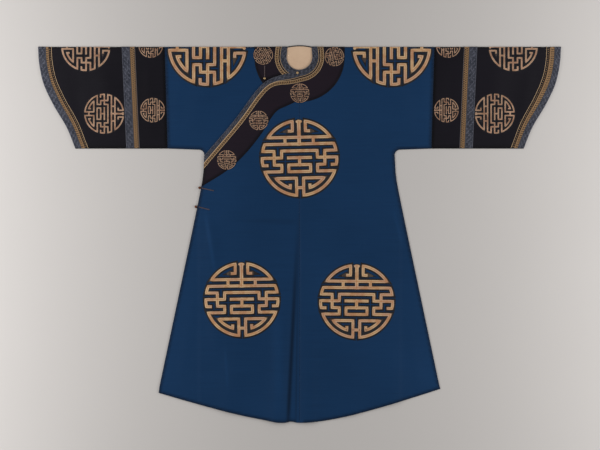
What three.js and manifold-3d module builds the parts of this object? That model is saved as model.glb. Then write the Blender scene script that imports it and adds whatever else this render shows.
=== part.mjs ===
// A woman's silk robe of the Qing court, laid flat with its front up and its sleeves spread.
// Millimetres. +Z is up, +Y runs from hem to shoulders, and +X is the wearer's left.
// The outlines are drawn with the shoulder line on Y = 0, and the finished group is then moved so
// that its origin is the middle of the box it fills, on the surface that it lies on.
import * as THREE from "three";
import { mergeVertices } from "three/addons/utils/BufferGeometryUtils.js";
import Module from "manifold-3d";

const wasm = await Module();
wasm.setup();

// Driving sizes of the cut
const HEM_DROP = 1390; // shoulder line to the lowest point of the hem
const NECK_RISE = 6; // the back of the neck stands this far above the shoulder line
const HALF_SPAN = 967; // middle of the robe to the tip of a cuff
const UNDERARM_DROP = 376; // shoulder line to the underside of the sleeve
const CHEST_HALF = 352; // middle to the side just under the arm
const HEM_HALF = 521; // middle to a corner of the hem
const CORNER_DROP = 1270; // shoulder line to a corner of the hem
const HEM_LEAN = 0.014; // the hem hangs lower on the wearer's right by this slope
const HEM_SPREAD = 0.335; // slope of the hem towards its corners
const HEM_ROUND = 70; // size of the curve in the middle of the hem
const SIDE_FLARE_FROM = 472; // the sides run straight down this far, then flare to the hem
const SIDE_FLARE_SOFT = 40; // length of the soft turn where the flare begins
const ARMPIT = 20; // size of the rounded corner under the arm
const ARMPIT_DROP = 4; // the sleeve's underside dips this much beside the body
const NECK_HALF = 48; // half the width of the neck opening
const NECK_STRAIGHT = 37; // the opening's sides run straight down this far, then turn round

// Cloth
const CLOTH = 1.5; // silk, interlining and lining, sewn as one wall
const TRIM = 1; // ribbon, braid and satin facing
const SEAM = 0.3; // gap kept between pieces that are sewn together
const INSIDE = 1.6; // between the front wall and the back wall
const BACK_TOP = CLOTH;
const INNER_LOW = CLOTH + INSIDE;
const FLAT_TOP = 2 * CLOTH + INSIDE;
const EDGE_TURN = FLAT_TOP / 2; // radius of the turned edge along the shoulders
const TURN_LEG = 2; // the turned edge runs this far into the flat walls
const SIDE_SEAM = 2; // width of the sewn strip that closes a side or an underarm
const FADE_FROM = 12; // folds and the overlap's rise start this far from an edge
const OVERLAP_RUN = 90; // the outer front comes down from the overlap over this width
const OVERLAP_START = 58; // and rises over this height below the shoulder line
const INNER_MIDDLE = 3; // the inner front ends this far from the middle
const INNER_SHORT = 55; // and this far above the hem
const CUT_FLOOR = -5; // cutting prisms run from here
const CUT_CEILING = 60; // to here, past every wall

// Sleeves, from the middle outwards, each at the shoulder line and at the underside
const BODY_END = { top: 499, foot: 488 };
const BRAID_START = { top: 608, foot: 591 };
const BRAID_END = { top: 628, foot: 612 };
const CUFF_START = { top: 632, foot: 615 };
const RIBBON_END = { top: 657, foot: 640 };
const CUFF_RIBBON = 22; // width of the ribbon along the mouth of the cuff
const CUFF_BRAID = { from: 22.5, to: 38 };

// Neck and overlap trims, as distances from the free edge
const NECK_RIBBON = 22;
const OVERLAP_RIBBON = 16;
const BRAID_GAP = { neck: 8, overlap: 0.4 };
const BRAID_WIDTH = 13.5;
const FACING_RADIUS = 167; // outer edge of the satin facing, from the middle of the neck opening

const NECK_BINDING = 4; // width of the binding on the back's neck edge
const LINING_TUCK = 26; // the lining reaches this far under the front around the opening

const BUTTON_RADIUS = 5;
const TAB_WIDTH = 3;
const TAB_HEIGHT = 1.6;

// The cuff's mouth, from the shoulder line to the underside: distance out and distance down
const CUFF_MOUTH = [
  { out: HALF_SPAN, down: 0 },
  { out: 963, down: 60 },
  { out: 947, down: 135 },
  { out: 912, down: 211 },
  { out: 860, down: 300 },
  { out: 829, down: UNDERARM_DROP },
];

// The overlap's free edge, from under the neck to the wearer's right side
const OVERLAP_EDGE = [
  { x: 0, y: -NECK_STRAIGHT - NECK_HALF },
  { x: -36, y: -97 },
  { x: -95, y: -113 },
  { x: -130, y: -132 },
  { x: -162, y: -165 },
  { x: -233, y: -262 },
  { x: -CHEST_HALF, y: -404 },
];

// The outer edge of the facing, from where it leaves its arc under the neck to the same side
const FACING_EDGE = [
  { x: -46, y: -218 },
  { x: -81, y: -235 },
  { x: -104, y: -262 },
  { x: -135, y: -313 },
  { x: -198, y: -393 },
  { x: -265, y: -455 },
  { x: -356, y: -514 },
];

// The largest soft folds of the front: a line from top to foot, its half width and its height
const FOLDS = [
  { top: [-50, -560], foot: [-84, -1400], halfWidth: 34, height: 7 },
  { top: [40, -640], foot: [36, -1400], halfWidth: 30, height: 6 },
  { top: [-330, -600], foot: [-300, -1180], halfWidth: 32, height: 4 },
  { top: [-200, -820], foot: [-268, -1400], halfWidth: 40, height: 4 },
  { top: [300, -560], foot: [352, -1400], halfWidth: 46, height: 4 },
  { top: [170, -900], foot: [196, -1400], halfWidth: 38, height: 3 },
  { top: [-330, -60], foot: [-420, -330], halfWidth: 48, height: 3 },
  { top: [330, -60], foot: [420, -330], halfWidth: 48, height: 3 },
  { top: [730, -50], foot: [700, -330], halfWidth: 50, height: 3 },
  { top: [-730, -50], foot: [-700, -330], halfWidth: 50, height: 3 },
];

const colours = {
  silk: { color: 0x1c3e66, roughness: 0.55 },
  satin: { color: 0x1b1a20, roughness: 0.5 },
  ribbon: { color: 0x4a5261, roughness: 0.7 },
  braid: { color: 0x8c6b42, roughness: 0.5, metalness: 0.3 },
  lining: { color: 0xb99b7e, roughness: 0.8 },
  binding: { color: 0x15141a, roughness: 0.6 },
  button: { color: 0xc9a869, roughness: 0.35, metalness: 0.9 },
};

// Small helpers
const clamp01 = (value) => Math.min(1, Math.max(0, value));
const smooth = (value) => clamp01(value) ** 2 * (3 - 2 * clamp01(value));
const mix = (a, b, share) => a + (b - a) * share;
const point = (x, y) => new THREE.Vector2(x, y);
const mirrored = (points) => points.map((p) => point(-p.x, p.y));
const sideOf = (points, side) => (side < 0 ? mirrored(points) : points);

// A smooth line through a few named points, as evenly spaced points
function curveThrough(points, pieces) {
  const curve = new THREE.CatmullRomCurve3(
    points.map((p) => new THREE.Vector3(p.x, p.y, 0)),
    false,
    "centripetal",
  );
  return curve.getSpacedPoints(pieces).map((p) => point(p.x, p.y));
}

// The same line moved sideways: distance is a number, or a function of the share of its length
function offset(path, distance) {
  return path.map((p, i) => {
    const before = path[Math.max(i - 1, 0)];
    const after = path[Math.min(i + 1, path.length - 1)];
    const along = after.clone().sub(before).normalize();
    const away = typeof distance === "number" ? distance : distance(i / (path.length - 1));
    return point(p.x - along.y * away, p.y + along.x * away);
  });
}

// The outline of a strip that follows a line, between two distances from it
const strip = (path, from, to) => [...offset(path, from), ...offset(path, to).reverse()];

// Solids
function solidOf(geometry) {
  const bare = geometry.index ? geometry.toNonIndexed() : geometry;
  bare.deleteAttribute("normal");
  bare.deleteAttribute("uv");
  const merged = mergeVertices(bare, 1e-4);
  const mesh = new wasm.Mesh({
    numProp: 3,
    vertProperties: merged.attributes.position.array,
    triVerts: new Uint32Array(merged.index.array),
  });
  return new wasm.Manifold(mesh);
}

function prism(outline, low, high) {
  const shape = new THREE.Shape(outline);
  const geometry = new THREE.ExtrudeGeometry(shape, {
    depth: high - low,
    bevelEnabled: false,
  });
  return solidOf(geometry.translate(0, 0, low));
}

// Lines of the grid that every rolling wall is made on
function gridLines(spans) {
  const lines = [];
  for (const { from, to, count } of spans)
    for (let i = 0; i < count; i++) lines.push(mix(from, to, i / count));
  lines.push(spans[spans.length - 1].to);
  return lines;
}
const GRID_X = gridLines([
  { from: -990, to: -520, count: 9 },
  { from: -520, to: -130, count: 11 },
  { from: -130, to: 130, count: 18 },
  { from: 130, to: 520, count: 11 },
  { from: 520, to: 990, count: 9 },
]);
const GRID_Y = gridLines([
  { from: -1410, to: -470, count: 12 },
  { from: -470, to: -12, count: 8 },
  { from: -12, to: 10, count: 1 },
]);

// How far out the closed side of the robe lies at a height
function sideAt(y) {
  const slope = (HEM_HALF - CHEST_HALF) / (CORNER_DROP - SIDE_FLARE_FROM);
  const run = -SIDE_FLARE_FROM - y;
  return CHEST_HALF + (slope * (Math.hypot(run, SIDE_FLARE_SOFT) + run)) / 2;
}

// Folds die away at the shoulders, the underarms and the sides, where the walls are joined
function edgeFade(x, y) {
  const reach = 60;
  const fromShoulder = smooth((-FADE_FROM - y) / reach);
  const onSleeve = smooth((y + UNDERARM_DROP - FADE_FROM) / reach);
  const side = sideAt(Math.min(y, -UNDERARM_DROP));
  const inBody = smooth((side - FADE_FROM - Math.abs(x)) / reach);
  return fromShoulder * Math.max(onSleeve, inBody);
}

// How far the front is lifted off the back by its folds
function lift(x, y) {
  let height = 0;
  for (const fold of FOLDS) {
    const share = (fold.top[1] - y) / (fold.top[1] - fold.foot[1]);
    const across = x - mix(fold.top[0], fold.foot[0], share);
    const runsOut = fold.foot[1] < -HEM_DROP;
    const ends = 4;
    const along = runsOut ? smooth(share) : smooth(share * ends) * smooth((1 - share) * ends);
    height += fold.height * along * Math.exp(-((across / fold.halfWidth) ** 2));
  }
  return height * edgeFade(x, y);
}

// The outer front lies on the inner one, and comes down to the back past the middle
function overlapRise(x, y) {
  const across = smooth((OVERLAP_RUN - x) / OVERLAP_RUN);
  return (CLOTH + SEAM) * across * smooth((-FADE_FROM - y) / OVERLAP_START);
}

const innerLow = (x, y) => INNER_LOW + lift(x, y);
const outerLow = (x, y) => INNER_LOW + lift(x, y) + overlapRise(x, y);
const above = (surface, distance) => (x, y) => surface(x, y) + distance;

// A wall of even thickness on the grid, over the box of an outline
function rollingWall(outline, low, thickness) {
  const box = new THREE.Box2().setFromPoints(outline);
  const within = (lines, from, to) =>
    lines.filter((_, i) => (lines[i + 1] ?? Infinity) > from && (lines[i - 1] ?? -Infinity) < to);
  const xs = within(GRID_X, box.min.x, box.max.x);
  const ys = within(GRID_Y, box.min.y, box.max.y);
  const positions = [];
  for (const rise of [0, thickness])
    for (const y of ys) for (const x of xs) positions.push(x, y, low(x, y) + rise);
  const across = xs.length;
  const layer = across * ys.length;
  const index = [];
  const quad = (a, b, c, d) => index.push(a, b, c, a, c, d);
  for (let j = 0; j + 1 < ys.length; j++)
    for (let i = 0; i + 1 < across; i++) {
      const a = j * across + i;
      index.push(layer + a, layer + a + 1, layer + a + across + 1);
      index.push(layer + a, layer + a + across + 1, layer + a + across);
      index.push(a, a + across + 1, a + 1, a, a + across, a + across + 1);
    }
  for (let i = 0; i + 1 < across; i++) {
    const last = layer - across + i;
    quad(i, i + 1, layer + i + 1, layer + i);
    quad(last + 1, last, layer + last, layer + last + 1);
  }
  for (let j = 0; j + 1 < ys.length; j++) {
    const a = j * across;
    const b = a + across - 1;
    quad(a + across, a, layer + a, layer + a + across);
    quad(b, b + across, layer + b + across, layer + b);
  }
  const geometry = new THREE.BufferGeometry();
  geometry.setAttribute("position", new THREE.Float32BufferAttribute(positions, 3));
  geometry.setIndex(index);
  return solidOf(geometry);
}

const cutWall = (outline, low, thickness) =>
  rollingWall(outline, low, thickness).intersect(prism(outline, CUT_FLOOR, CUT_CEILING));

// The turned edge that joins front to back along the shoulder line, between two distances out
function shoulderTurn(from, to) {
  const arc = (radius, start, end) =>
    Array.from({ length: 9 }, (_, i) => {
      const angle = mix(start, end, i / 8);
      return point(radius * Math.cos(angle) - EDGE_TURN, EDGE_TURN + radius * Math.sin(angle));
    });
  const quarter = Math.PI / 2;
  const profile = [
    point(-EDGE_TURN - TURN_LEG, 0),
    ...arc(EDGE_TURN, -quarter, quarter),
    point(-EDGE_TURN - TURN_LEG, FLAT_TOP),
    point(-EDGE_TURN - TURN_LEG, FLAT_TOP - CLOTH),
    ...arc(INSIDE / 2, quarter, -quarter),
    point(-EDGE_TURN - TURN_LEG, CLOTH),
  ];
  const geometry = new THREE.ExtrudeGeometry(new THREE.Shape(profile), {
    depth: Math.abs(to - from),
    bevelEnabled: false,
  });
  const turn = new THREE.Matrix4().makeBasis(
    new THREE.Vector3(0, 1, 0),
    new THREE.Vector3(0, 0, 1),
    new THREE.Vector3(1, 0, 0),
  );
  return solidOf(geometry.applyMatrix4(turn).translate(Math.min(from, to), 0, 0));
}

// Outlines are drawn with their distances from the middle, and mirrored for the wearer's right.
// Only the hem tells the sides apart.
const hemAt = (x, side) =>
  -HEM_DROP + Math.hypot(HEM_SPREAD * x, HEM_ROUND) - HEM_ROUND + side * HEM_LEAN * x;

function hemLine(fromX, toX, side) {
  const pieces = 12;
  return Array.from({ length: pieces + 1 }, (_, i) => {
    const x = mix(fromX, toX, i / pieces);
    return point(x, hemAt(x, side));
  });
}

// Underside of the sleeve, round the armpit and down the side to the corner of the hem
function underarmAndSide(side) {
  const under = -UNDERARM_DROP - ARMPIT_DROP;
  const armpit = new THREE.QuadraticBezierCurve(
    point(CHEST_HALF + ARMPIT, under),
    point(CHEST_HALF, under),
    point(CHEST_HALF, under - ARMPIT),
  ).getPoints(5);
  const drops = [440, 470, 500, 540, 800, 1030];
  return [
    point(BODY_END.foot, -UNDERARM_DROP),
    ...armpit,
    ...drops.map((drop) => point(sideAt(-drop), -drop)),
    point(HEM_HALF, hemAt(HEM_HALF, side)),
  ];
}

function neckSide(pieces = 10) {
  const round = Array.from({ length: pieces + 1 }, (_, i) => {
    const angle = (i / pieces) * (Math.PI / 2);
    return point(NECK_HALF * Math.cos(angle), -NECK_STRAIGHT - NECK_HALF * Math.sin(angle));
  });
  return [point(NECK_HALF, 0), ...round];
}

const overlapEdge = curveThrough(OVERLAP_EDGE, 26);
const freeEdge = [...neckSide(), ...overlapEdge.slice(1)];
const cuffMouth = curveThrough(
  CUFF_MOUTH.map(({ out, down }) => ({ x: out, y: -down })),
  16,
);

// The line down a sleeve at one of the named distances, kept a seam's gap from it if asked
const sleeveLine = ({ top, foot }, shift = 0) => [
  point(top + shift, 0),
  point(foot + shift, -UNDERARM_DROP),
];

// From the corner of the hem up the side and along under the sleeve, to the sleeve's end
const sideAndSleeve = (side) => [
  ...underarmAndSide(side).reverse().slice(1),
  point(BODY_END.top, -EDGE_TURN),
];

const neckCut = (middle) =>
  neckSide().map((p) => point(Math.max(p.x, middle), Math.min(p.y, -EDGE_TURN)));

const leftFrontOutline = () => [
  ...neckCut(SEAM / 2),
  ...hemLine(SEAM / 2, HEM_HALF, 1),
  ...sideAndSleeve(1),
];

// Height of the back's neck edge over the shoulder line
const neckEdge = (x) => NECK_RISE * (1 - (x / NECK_HALF) ** 2);

const backOutline = (side) => [
  point(NECK_HALF, -EDGE_TURN),
  ...[32, 16, SEAM / 2].map((x) => point(x, neckEdge(x))),
  ...hemLine(SEAM / 2, HEM_HALF, side),
  ...sideAndSleeve(side),
];

// The hidden inner front of the wearer's right stops short of the middle and of the hem
function innerFrontOutline() {
  const hem = hemLine(INNER_MIDDLE, HEM_HALF, -1).map((p) => point(p.x, p.y + INNER_SHORT));
  const corner = hem.pop();
  return [
    ...neckCut(INNER_MIDDLE),
    ...hem,
    point(sideAt(corner.y), corner.y),
    ...sideAndSleeve(-1),
  ];
}

// Everything that the overlap covers
function overlapOutline() {
  const side = mirrored(underarmAndSide(-1)).filter((p) => p.y < OVERLAP_EDGE.at(-1).y);
  return [
    ...overlapEdge.map((p) => point(Math.min(p.x, -SEAM / 2), p.y)),
    ...side,
    ...mirrored(hemLine(SEAM / 2, HEM_HALF, -1)).reverse().slice(1),
  ];
}

const bodySeam = (side) =>
  prism(sideOf(strip(underarmAndSide(side), 0, -SIDE_SEAM), side), 0, FLAT_TOP);

// Body of one side: front wall, back wall, turned shoulder edge and sewn side, in one piece
function bodyHalf(side, frontOutline, frontLow) {
  return cutWall(sideOf(frontOutline, side), frontLow, CLOTH)
    .add(prism(sideOf(backOutline(side), side), 0, BACK_TOP))
    .add(shoulderTurn(side * NECK_HALF, side * BODY_END.top))
    .add(bodySeam(side));
}

// A length of sleeve as a flattened tube, between an inner line and an outer line
function sleeveTube(side, inner, outer) {
  const outline = sideOf([...inner, ...[...outer].reverse()], side);
  const lowered = outline.map((p) => point(p.x, Math.min(p.y, -EDGE_TURN)));
  const underside = [inner.at(-1), outer.at(-1)];
  const seam = sideOf(strip(underside, 0, SIDE_SEAM), side);
  return cutWall(lowered, innerLow, CLOTH)
    .add(prism(lowered, 0, BACK_TOP))
    .add(shoulderTurn(side * inner[0].x, side * outer[0].x))
    .add(prism(seam, 0, FLAT_TOP));
}

// Trims lie on the front wall and stop just short of the turned edge
const onSleeve = above(innerLow, CLOTH + SEAM);
const onInner = above(innerLow, CLOTH + SEAM);
const onOuter = above(outerLow, CLOTH + SEAM);
const TRIM_START = EDGE_TURN + SEAM; // below the shoulder line
const trimTop = (points) => points.map((p) => point(p.x, Math.min(p.y, -TRIM_START)));
const trim = (outline, low) => cutWall(trimTop(outline), low, TRIM);

function sleeveTrim(side, inner, outer) {
  return trim(sideOf([...inner, ...[...outer].reverse()], side), onSleeve);
}

// The share of the free edge at which the neck's curve is left and the overlap begins
const NECK_SHARE = neckSide().length / freeEdge.length;
const taper = (atNeck, atOverlap) => (share) =>
  mix(atNeck, atOverlap, smooth((share - NECK_SHARE * 0.7) / 0.3));

const ribbonEdge = taper(NECK_RIBBON, OVERLAP_RIBBON);
const braidFrom = taper(NECK_RIBBON + BRAID_GAP.neck, OVERLAP_RIBBON + BRAID_GAP.overlap);
const braidTo = (share) => braidFrom(share) + BRAID_WIDTH;

// The cloth ends at its side, so the trims that follow the overlap are cut off there.
// Beyond the middle they lie on the other front, inside this block.
const overlapZone = () => prism(overlapOutline(), CUT_FLOOR, CUT_CEILING);
const leftOfMiddle = () =>
  prism(
    [point(-SEAM, 0), point(-SEAM, -CHEST_HALF), point(CHEST_HALF, -CHEST_HALF), point(CHEST_HALF, 0)],
    CUT_FLOOR,
    CUT_CEILING,
  );

function facingOuterEdge() {
  const arcEnd = -1.66;
  const pieces = 14;
  const arc = Array.from({ length: pieces + 1 }, (_, i) => {
    const angle = mix(0, arcEnd, i / pieces);
    return point(FACING_RADIUS * Math.cos(angle), -NECK_STRAIGHT + FACING_RADIUS * Math.sin(angle));
  });
  return [point(FACING_RADIUS, 0), ...arc, ...curveThrough(FACING_EDGE, 20)];
}

function leftFacing() {
  const outline = [...freeEdge, ...facingOuterEdge().reverse()];
  return trim(outline, onOuter).intersect(overlapZone().add(leftOfMiddle()));
}

const freeEdgeTrim = (from, to) =>
  trim(strip(freeEdge, from, to), above(onOuter, TRIM + SEAM)).intersect(
    overlapZone().add(leftOfMiddle()),
  );

// On the wearer's right the neck trims end where the overlap begins
function rightOfNeck(from, to, low) {
  const neck = mirrored(neckSide());
  const beyond = CHEST_HALF * 2;
  const covered = [
    ...offset(overlapEdge, -SEAM),
    point(-CHEST_HALF, -beyond),
    point(NECK_HALF, -beyond),
    point(NECK_HALF, overlapEdge[0].y + SEAM),
  ];
  return trim(strip(neck, -from, -to), low).subtract(prism(covered, CUT_FLOOR, CUT_CEILING));
}

const BINDING_XS = [-46, -32, -16, 0, 16, 32, 46];

function backNeckBinding() {
  const outline = [
    ...BINDING_XS.map((x) => point(x, neckEdge(x) - NECK_BINDING)),
    ...[...BINDING_XS].reverse().map((x) => point(x, neckEdge(x))),
  ];
  return prism(outline, BACK_TOP + SEAM, BACK_TOP + SEAM + CLOTH);
}

// Seen through the neck opening, tucked under the front all round it and up to the binding
function neckLining() {
  const around = offset(neckSide(), LINING_TUCK);
  const clearOfTurn = (p) => point(p.x, Math.min(p.y, -EDGE_TURN - TURN_LEG));
  const outline = [
    ...BINDING_XS.map((x) => point(x, neckEdge(x) - NECK_BINDING - SEAM)),
    ...around.map(clearOfTurn),
    ...mirrored(around).reverse().map(clearOfTurn),
  ];
  return prism(outline, BACK_TOP + SEAM, BACK_TOP + SEAM + TRIM);
}

function ballButton(x, y, z) {
  const ball = new THREE.SphereGeometry(BUTTON_RADIUS, 12, 8);
  return solidOf(ball.rotateX(Math.PI / 2).translate(x, y, z));
}

// The corded loop that holds a button, from its tail to the button
function tab(tail, head, low) {
  const middle = tail.clone().lerp(head, 0.5);
  const length = tail.distanceTo(head);
  const angle = Math.atan2(head.y - tail.y, head.x - tail.x);
  const bar = new THREE.BoxGeometry(length, TAB_WIDTH, TAB_HEIGHT);
  return solidOf(bar.rotateZ(angle).translate(middle.x, middle.y, low + TAB_HEIGHT / 2));
}

// The group
const robe = new THREE.Group();
robe.name = "robe";
robe.position.y = (HEM_DROP + NECK_RISE) / 2 - NECK_RISE;

function addPiece(name, solid, colour) {
  const { vertProperties, triVerts, numProp } = solid.getMesh();
  const count = vertProperties.length / numProp;
  const positions = new Float32Array(count * 3);
  for (let i = 0; i < count; i++)
    positions.set(vertProperties.subarray(i * numProp, i * numProp + 3), i * 3);
  const geometry = new THREE.BufferGeometry();
  geometry.setAttribute("position", new THREE.BufferAttribute(positions, 3));
  geometry.setIndex(new THREE.BufferAttribute(triVerts, 1));
  geometry.computeVertexNormals();
  const mesh = new THREE.Mesh(geometry, new THREE.MeshStandardMaterial(colours[colour]));
  mesh.name = name;
  robe.add(mesh);
}

function addBody() {
  addPiece("left_body", bodyHalf(1, leftFrontOutline(), outerLow), "silk");
  addPiece("right_body", bodyHalf(-1, innerFrontOutline(), innerLow), "silk");
  addPiece("right_overlap", cutWall(overlapOutline(), outerLow, CLOTH), "silk");
  addPiece("neck_lining", neckLining(), "lining");
  addPiece("back_neck_binding", backNeckBinding(), "binding");
}

function addSleeve(name, side) {
  const extension = sleeveTube(side, sleeveLine(BODY_END, SEAM), sleeveLine(CUFF_START));
  const cuff = sleeveTube(side, sleeveLine(CUFF_START, SEAM), cuffMouth);
  const cuffOutline = [...sleeveLine(CUFF_START), ...[...cuffMouth].reverse()];
  addPiece(`${name}_sleeve`, extension, "satin");
  addPiece(`${name}_cuff`, cuff, "satin");
  const inner = sleeveTrim(side, sleeveLine(BRAID_START), sleeveLine(BRAID_END));
  const outer = sleeveTrim(side, sleeveLine(BRAID_END, SEAM), sleeveLine(RIBBON_END));
  addPiece(`${name}_sleeve_braid`, inner, "braid");
  addPiece(`${name}_sleeve_ribbon`, outer, "ribbon");
  const mouthStrip = (from, to) =>
    trim(sideOf(strip(cuffMouth, -from, -to), side), onSleeve).intersect(
      prism(sideOf(cuffOutline, side), CUT_FLOOR, CUT_CEILING),
    );
  addPiece(`${name}_cuff_ribbon`, mouthStrip(0, CUFF_RIBBON), "ribbon");
  addPiece(`${name}_cuff_braid`, mouthStrip(CUFF_BRAID.from, CUFF_BRAID.to), "braid");
}

function addNeckTrims() {
  addPiece("overlap_facing", leftFacing(), "satin");
  addPiece("overlap_ribbon", freeEdgeTrim(0, ribbonEdge), "ribbon");
  addPiece("overlap_braid", freeEdgeTrim(braidFrom, braidTo), "braid");
  const width = FACING_RADIUS - NECK_HALF;
  addPiece("neck_facing", rightOfNeck(0, width, onInner), "satin");
  const onFacing = above(onInner, TRIM + SEAM);
  const braidStart = NECK_RIBBON + BRAID_GAP.neck;
  addPiece("neck_ribbon", rightOfNeck(0, NECK_RIBBON, onFacing), "ribbon");
  addPiece("neck_braid", rightOfNeck(braidStart, braidStart + BRAID_WIDTH, onFacing), "braid");
}

// Four closures: where the ball stands, the tail of its corded loop, and what the loop lies on
function addClosures() {
  const facingTop = FLAT_TOP + SEAM + TRIM;
  const outerTop = FLAT_TOP + SEAM + CLOTH;
  const ribbonTop = outerTop + 2 * (SEAM + TRIM);
  const stand = SEAM + BUTTON_RADIUS;
  const atSide = (y) => [-sideAt(y) - stand, y];
  const closures = [
    { name: "neck", ball: [-8, -97], z: ribbonTop + stand },
    { name: "collar", ball: [-129, -117], z: facingTop + stand, tail: [-129, -70], under: facingTop },
    { name: "underarm", ball: atSide(-521), z: stand, tail: [-325, -531], under: outerTop },
    { name: "waist", ball: atSide(-591), z: stand, tail: [-331, -604], under: outerTop },
  ];
  for (const { name, ball, z, tail, under } of closures) {
    addPiece(`${name}_button`, ballButton(...ball, z), "button");
    if (!tail) continue;
    const from = point(...tail);
    const to = point(...ball);
    const reach = 1 - stand / from.distanceTo(to);
    addPiece(`${name}_loop`, tab(from, from.clone().lerp(to, reach), under + SEAM), "binding");
  }
}

addBody();
addSleeve("left", 1);
addSleeve("right", -1);
addNeckTrims();
addClosures();

export default robe;
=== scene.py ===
"""Looks for a silk court robe laid flat: cloth, trims, gold roundels, buttons and stage.

Lengths in this file are millimetres on the flat cut, counted from the shoulder line, and become
metres where a mesh is made. The cut is drawn unfolded: x runs across, and v runs up the front to
the shoulder (v below 0), over the turned edge and on down the back (v above 0).
"""

import math

import bpy
import numpy as np
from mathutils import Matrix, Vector
from mathutils.geometry import delaunay_2d_cdt


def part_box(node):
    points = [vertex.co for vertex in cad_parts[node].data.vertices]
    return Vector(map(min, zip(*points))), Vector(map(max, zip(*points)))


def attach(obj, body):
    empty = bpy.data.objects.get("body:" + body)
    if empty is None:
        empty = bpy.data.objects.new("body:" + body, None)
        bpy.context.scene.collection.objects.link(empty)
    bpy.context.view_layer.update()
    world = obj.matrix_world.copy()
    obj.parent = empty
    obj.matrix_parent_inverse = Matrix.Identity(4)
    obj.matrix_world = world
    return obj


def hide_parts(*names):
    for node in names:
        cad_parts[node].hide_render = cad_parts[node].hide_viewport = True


bl_info = {
    "name": "Court robe laid flat",
    "version": (1, 0, 0),
    "blender": (4, 5, 0),
    "location": "3D View > Sidebar > Robe",
    "description": "Dresses the packed robe with cloth, trims, gold roundels, buttons and a stage",
    "category": "Object",
}

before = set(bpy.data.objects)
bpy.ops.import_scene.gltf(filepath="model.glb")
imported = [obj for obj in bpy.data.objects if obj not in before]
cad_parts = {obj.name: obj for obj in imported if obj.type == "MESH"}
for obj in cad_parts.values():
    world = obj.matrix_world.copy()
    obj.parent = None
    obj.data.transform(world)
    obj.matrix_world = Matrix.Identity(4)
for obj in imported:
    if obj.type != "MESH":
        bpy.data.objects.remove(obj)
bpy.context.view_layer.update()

MM = 0.001
BODY = "root"

# Sizes of the cut, as in the frame
HEM_DROP = 1390
NECK_RISE = 6
SHOULDER_Y = (HEM_DROP - NECK_RISE) / 2
UNDERARM = 376
CHEST_HALF = 352
HEM_HALF = 521
CORNER_DROP = 1270
HEM_LEAN = 0.014
HEM_SPREAD = 0.335
HEM_ROUND = 70
FLARE_FROM = 472
FLARE_SOFT = 40
ARMPIT = 20
ARMPIT_DROP = 4
NECK_HALF = 48
NECK_STRAIGHT = 37
FACING_RADIUS = 167
SEAM = 0.3
MEETS = 0.02
INNER_SHORT = 55
INNER_MIDDLE = 3

# Sleeve lines: distance from the middle at the shoulder line and at the underside
BODY_END = (499, 488)
SLEEVE_ROOT = BODY_END[1] - CHEST_HALF
BRAID_START = (608, 591)
BRAID_END = (628, 612)
CUFF_START = (632, 615)
RIBBON_END = (657, 640)
CUFF_MOUTH = [(967, 0), (963, -60), (947, -135), (912, -211), (860, -300), (829, -UNDERARM)]
OVERLAP_EDGE = [
    (0, -NECK_STRAIGHT - NECK_HALF),
    (-36, -97),
    (-95, -113),
    (-130, -132),
    (-162, -165),
    (-233, -262),
    (-353, -404),
]
FACING_EDGE = [
    (-46, -218),
    (-81, -235),
    (-104, -262),
    (-135, -313),
    (-198, -393),
    (-265, -455),
    (-361, -516),
]

# The turned edge along the shoulders
TURN = 1.95
BACK_LOW = 0.7
TURN_LENGTH = math.pi * TURN
FOLD_MIDDLE = TURN_LENGTH / 2 - TURN
TUCK = 14
FOLD_ROWS = np.linspace(-TURN, TURN_LENGTH - TURN, 7)

# How high things stand on the cloth
OVERLAP_RISE = 1.8
FACING_TOP = 0.8
TRIM_TOP = 1.7
SINK = 0.15
OUTLINE_TOP = 0.24

# The front's relief dies away near the shoulders, the underarms and the sides
FADE_FROM = 12
FADE = 60
FOLD_ENDS = 4
SLOW_WAVES = 0.35
DEEPEST = -1.3
EDGE_DROP = 1.5
EDGE_ROUND = 9

# The outer front comes down to the back past the middle
OVERLAP_RUN = 90
OVERLAP_START = 58

# How much of what stands out of the back is pressed flat by the robe's weight
PRESSED = 0.75
CORD_CLEAR = 1.0

# Distances between points of an outline, and how the points inside it are spaced
CLOTH_STEP = 9
FACING_STEP = 5
ROW_GAP = 0.866
FOLD_CLEAR = 3
RIM_CLEAR = 0.55
INSET = 0.6

# Painted shade darkens the cloth over this distance from its turned edges, where it turns under. The
# centre seams aren't turned.
SHADE_RUN = 8
SEAM_HALF = 12

# Trims round the neck and down the overlap, where they narrow: the ribbon's width, where the braid
# starts, and the braid's width, the lines of its piping and the line of its knots
NECK_RIBBON = 22
NECK_BRAID = 30
OVERLAP_RIBBON = 16
OVERLAP_BRAID = 16.4
NARROW_FROM = 130
NARROW_OVER = 120
BRAID_WIDTH = 13.5
BRAID_PIPING = (1.2, 12.3)
BRAID_KNOTS = 6.8

# What is sewn along the sleeve's braid and ribbon: kind, distance from the braid's edge, depth under
# the trim's top, and how far the first knot is moved, as a share of a step
SLEEVE_ROWS = [
    ("selvedges", 0.7, 0, 0),
    ("spots", 5.6, 0.3, 0),
    ("knots", 5.6, 0.3, 0.5),
    ("dots", 12.4, 0.5, 0.5),
    ("knots", 12.4, 0.2, 0),
    ("knots", 16.4, 0.3, 0.5),
]

# Lines along the cuff's mouth, as distances from it, and how far the braid's knots are from its edges
MOUTH_BRAID = 36
MOUTH_SPOTS = 39.5
MOUTH_PIPING = 44.8
KNOTS_IN = 3.4

# Cord of a loop: its radius, and how far each of its two lines is from their middle
LOOP_CORD = 0.8
LOOP_SPREAD = 0.9

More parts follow.
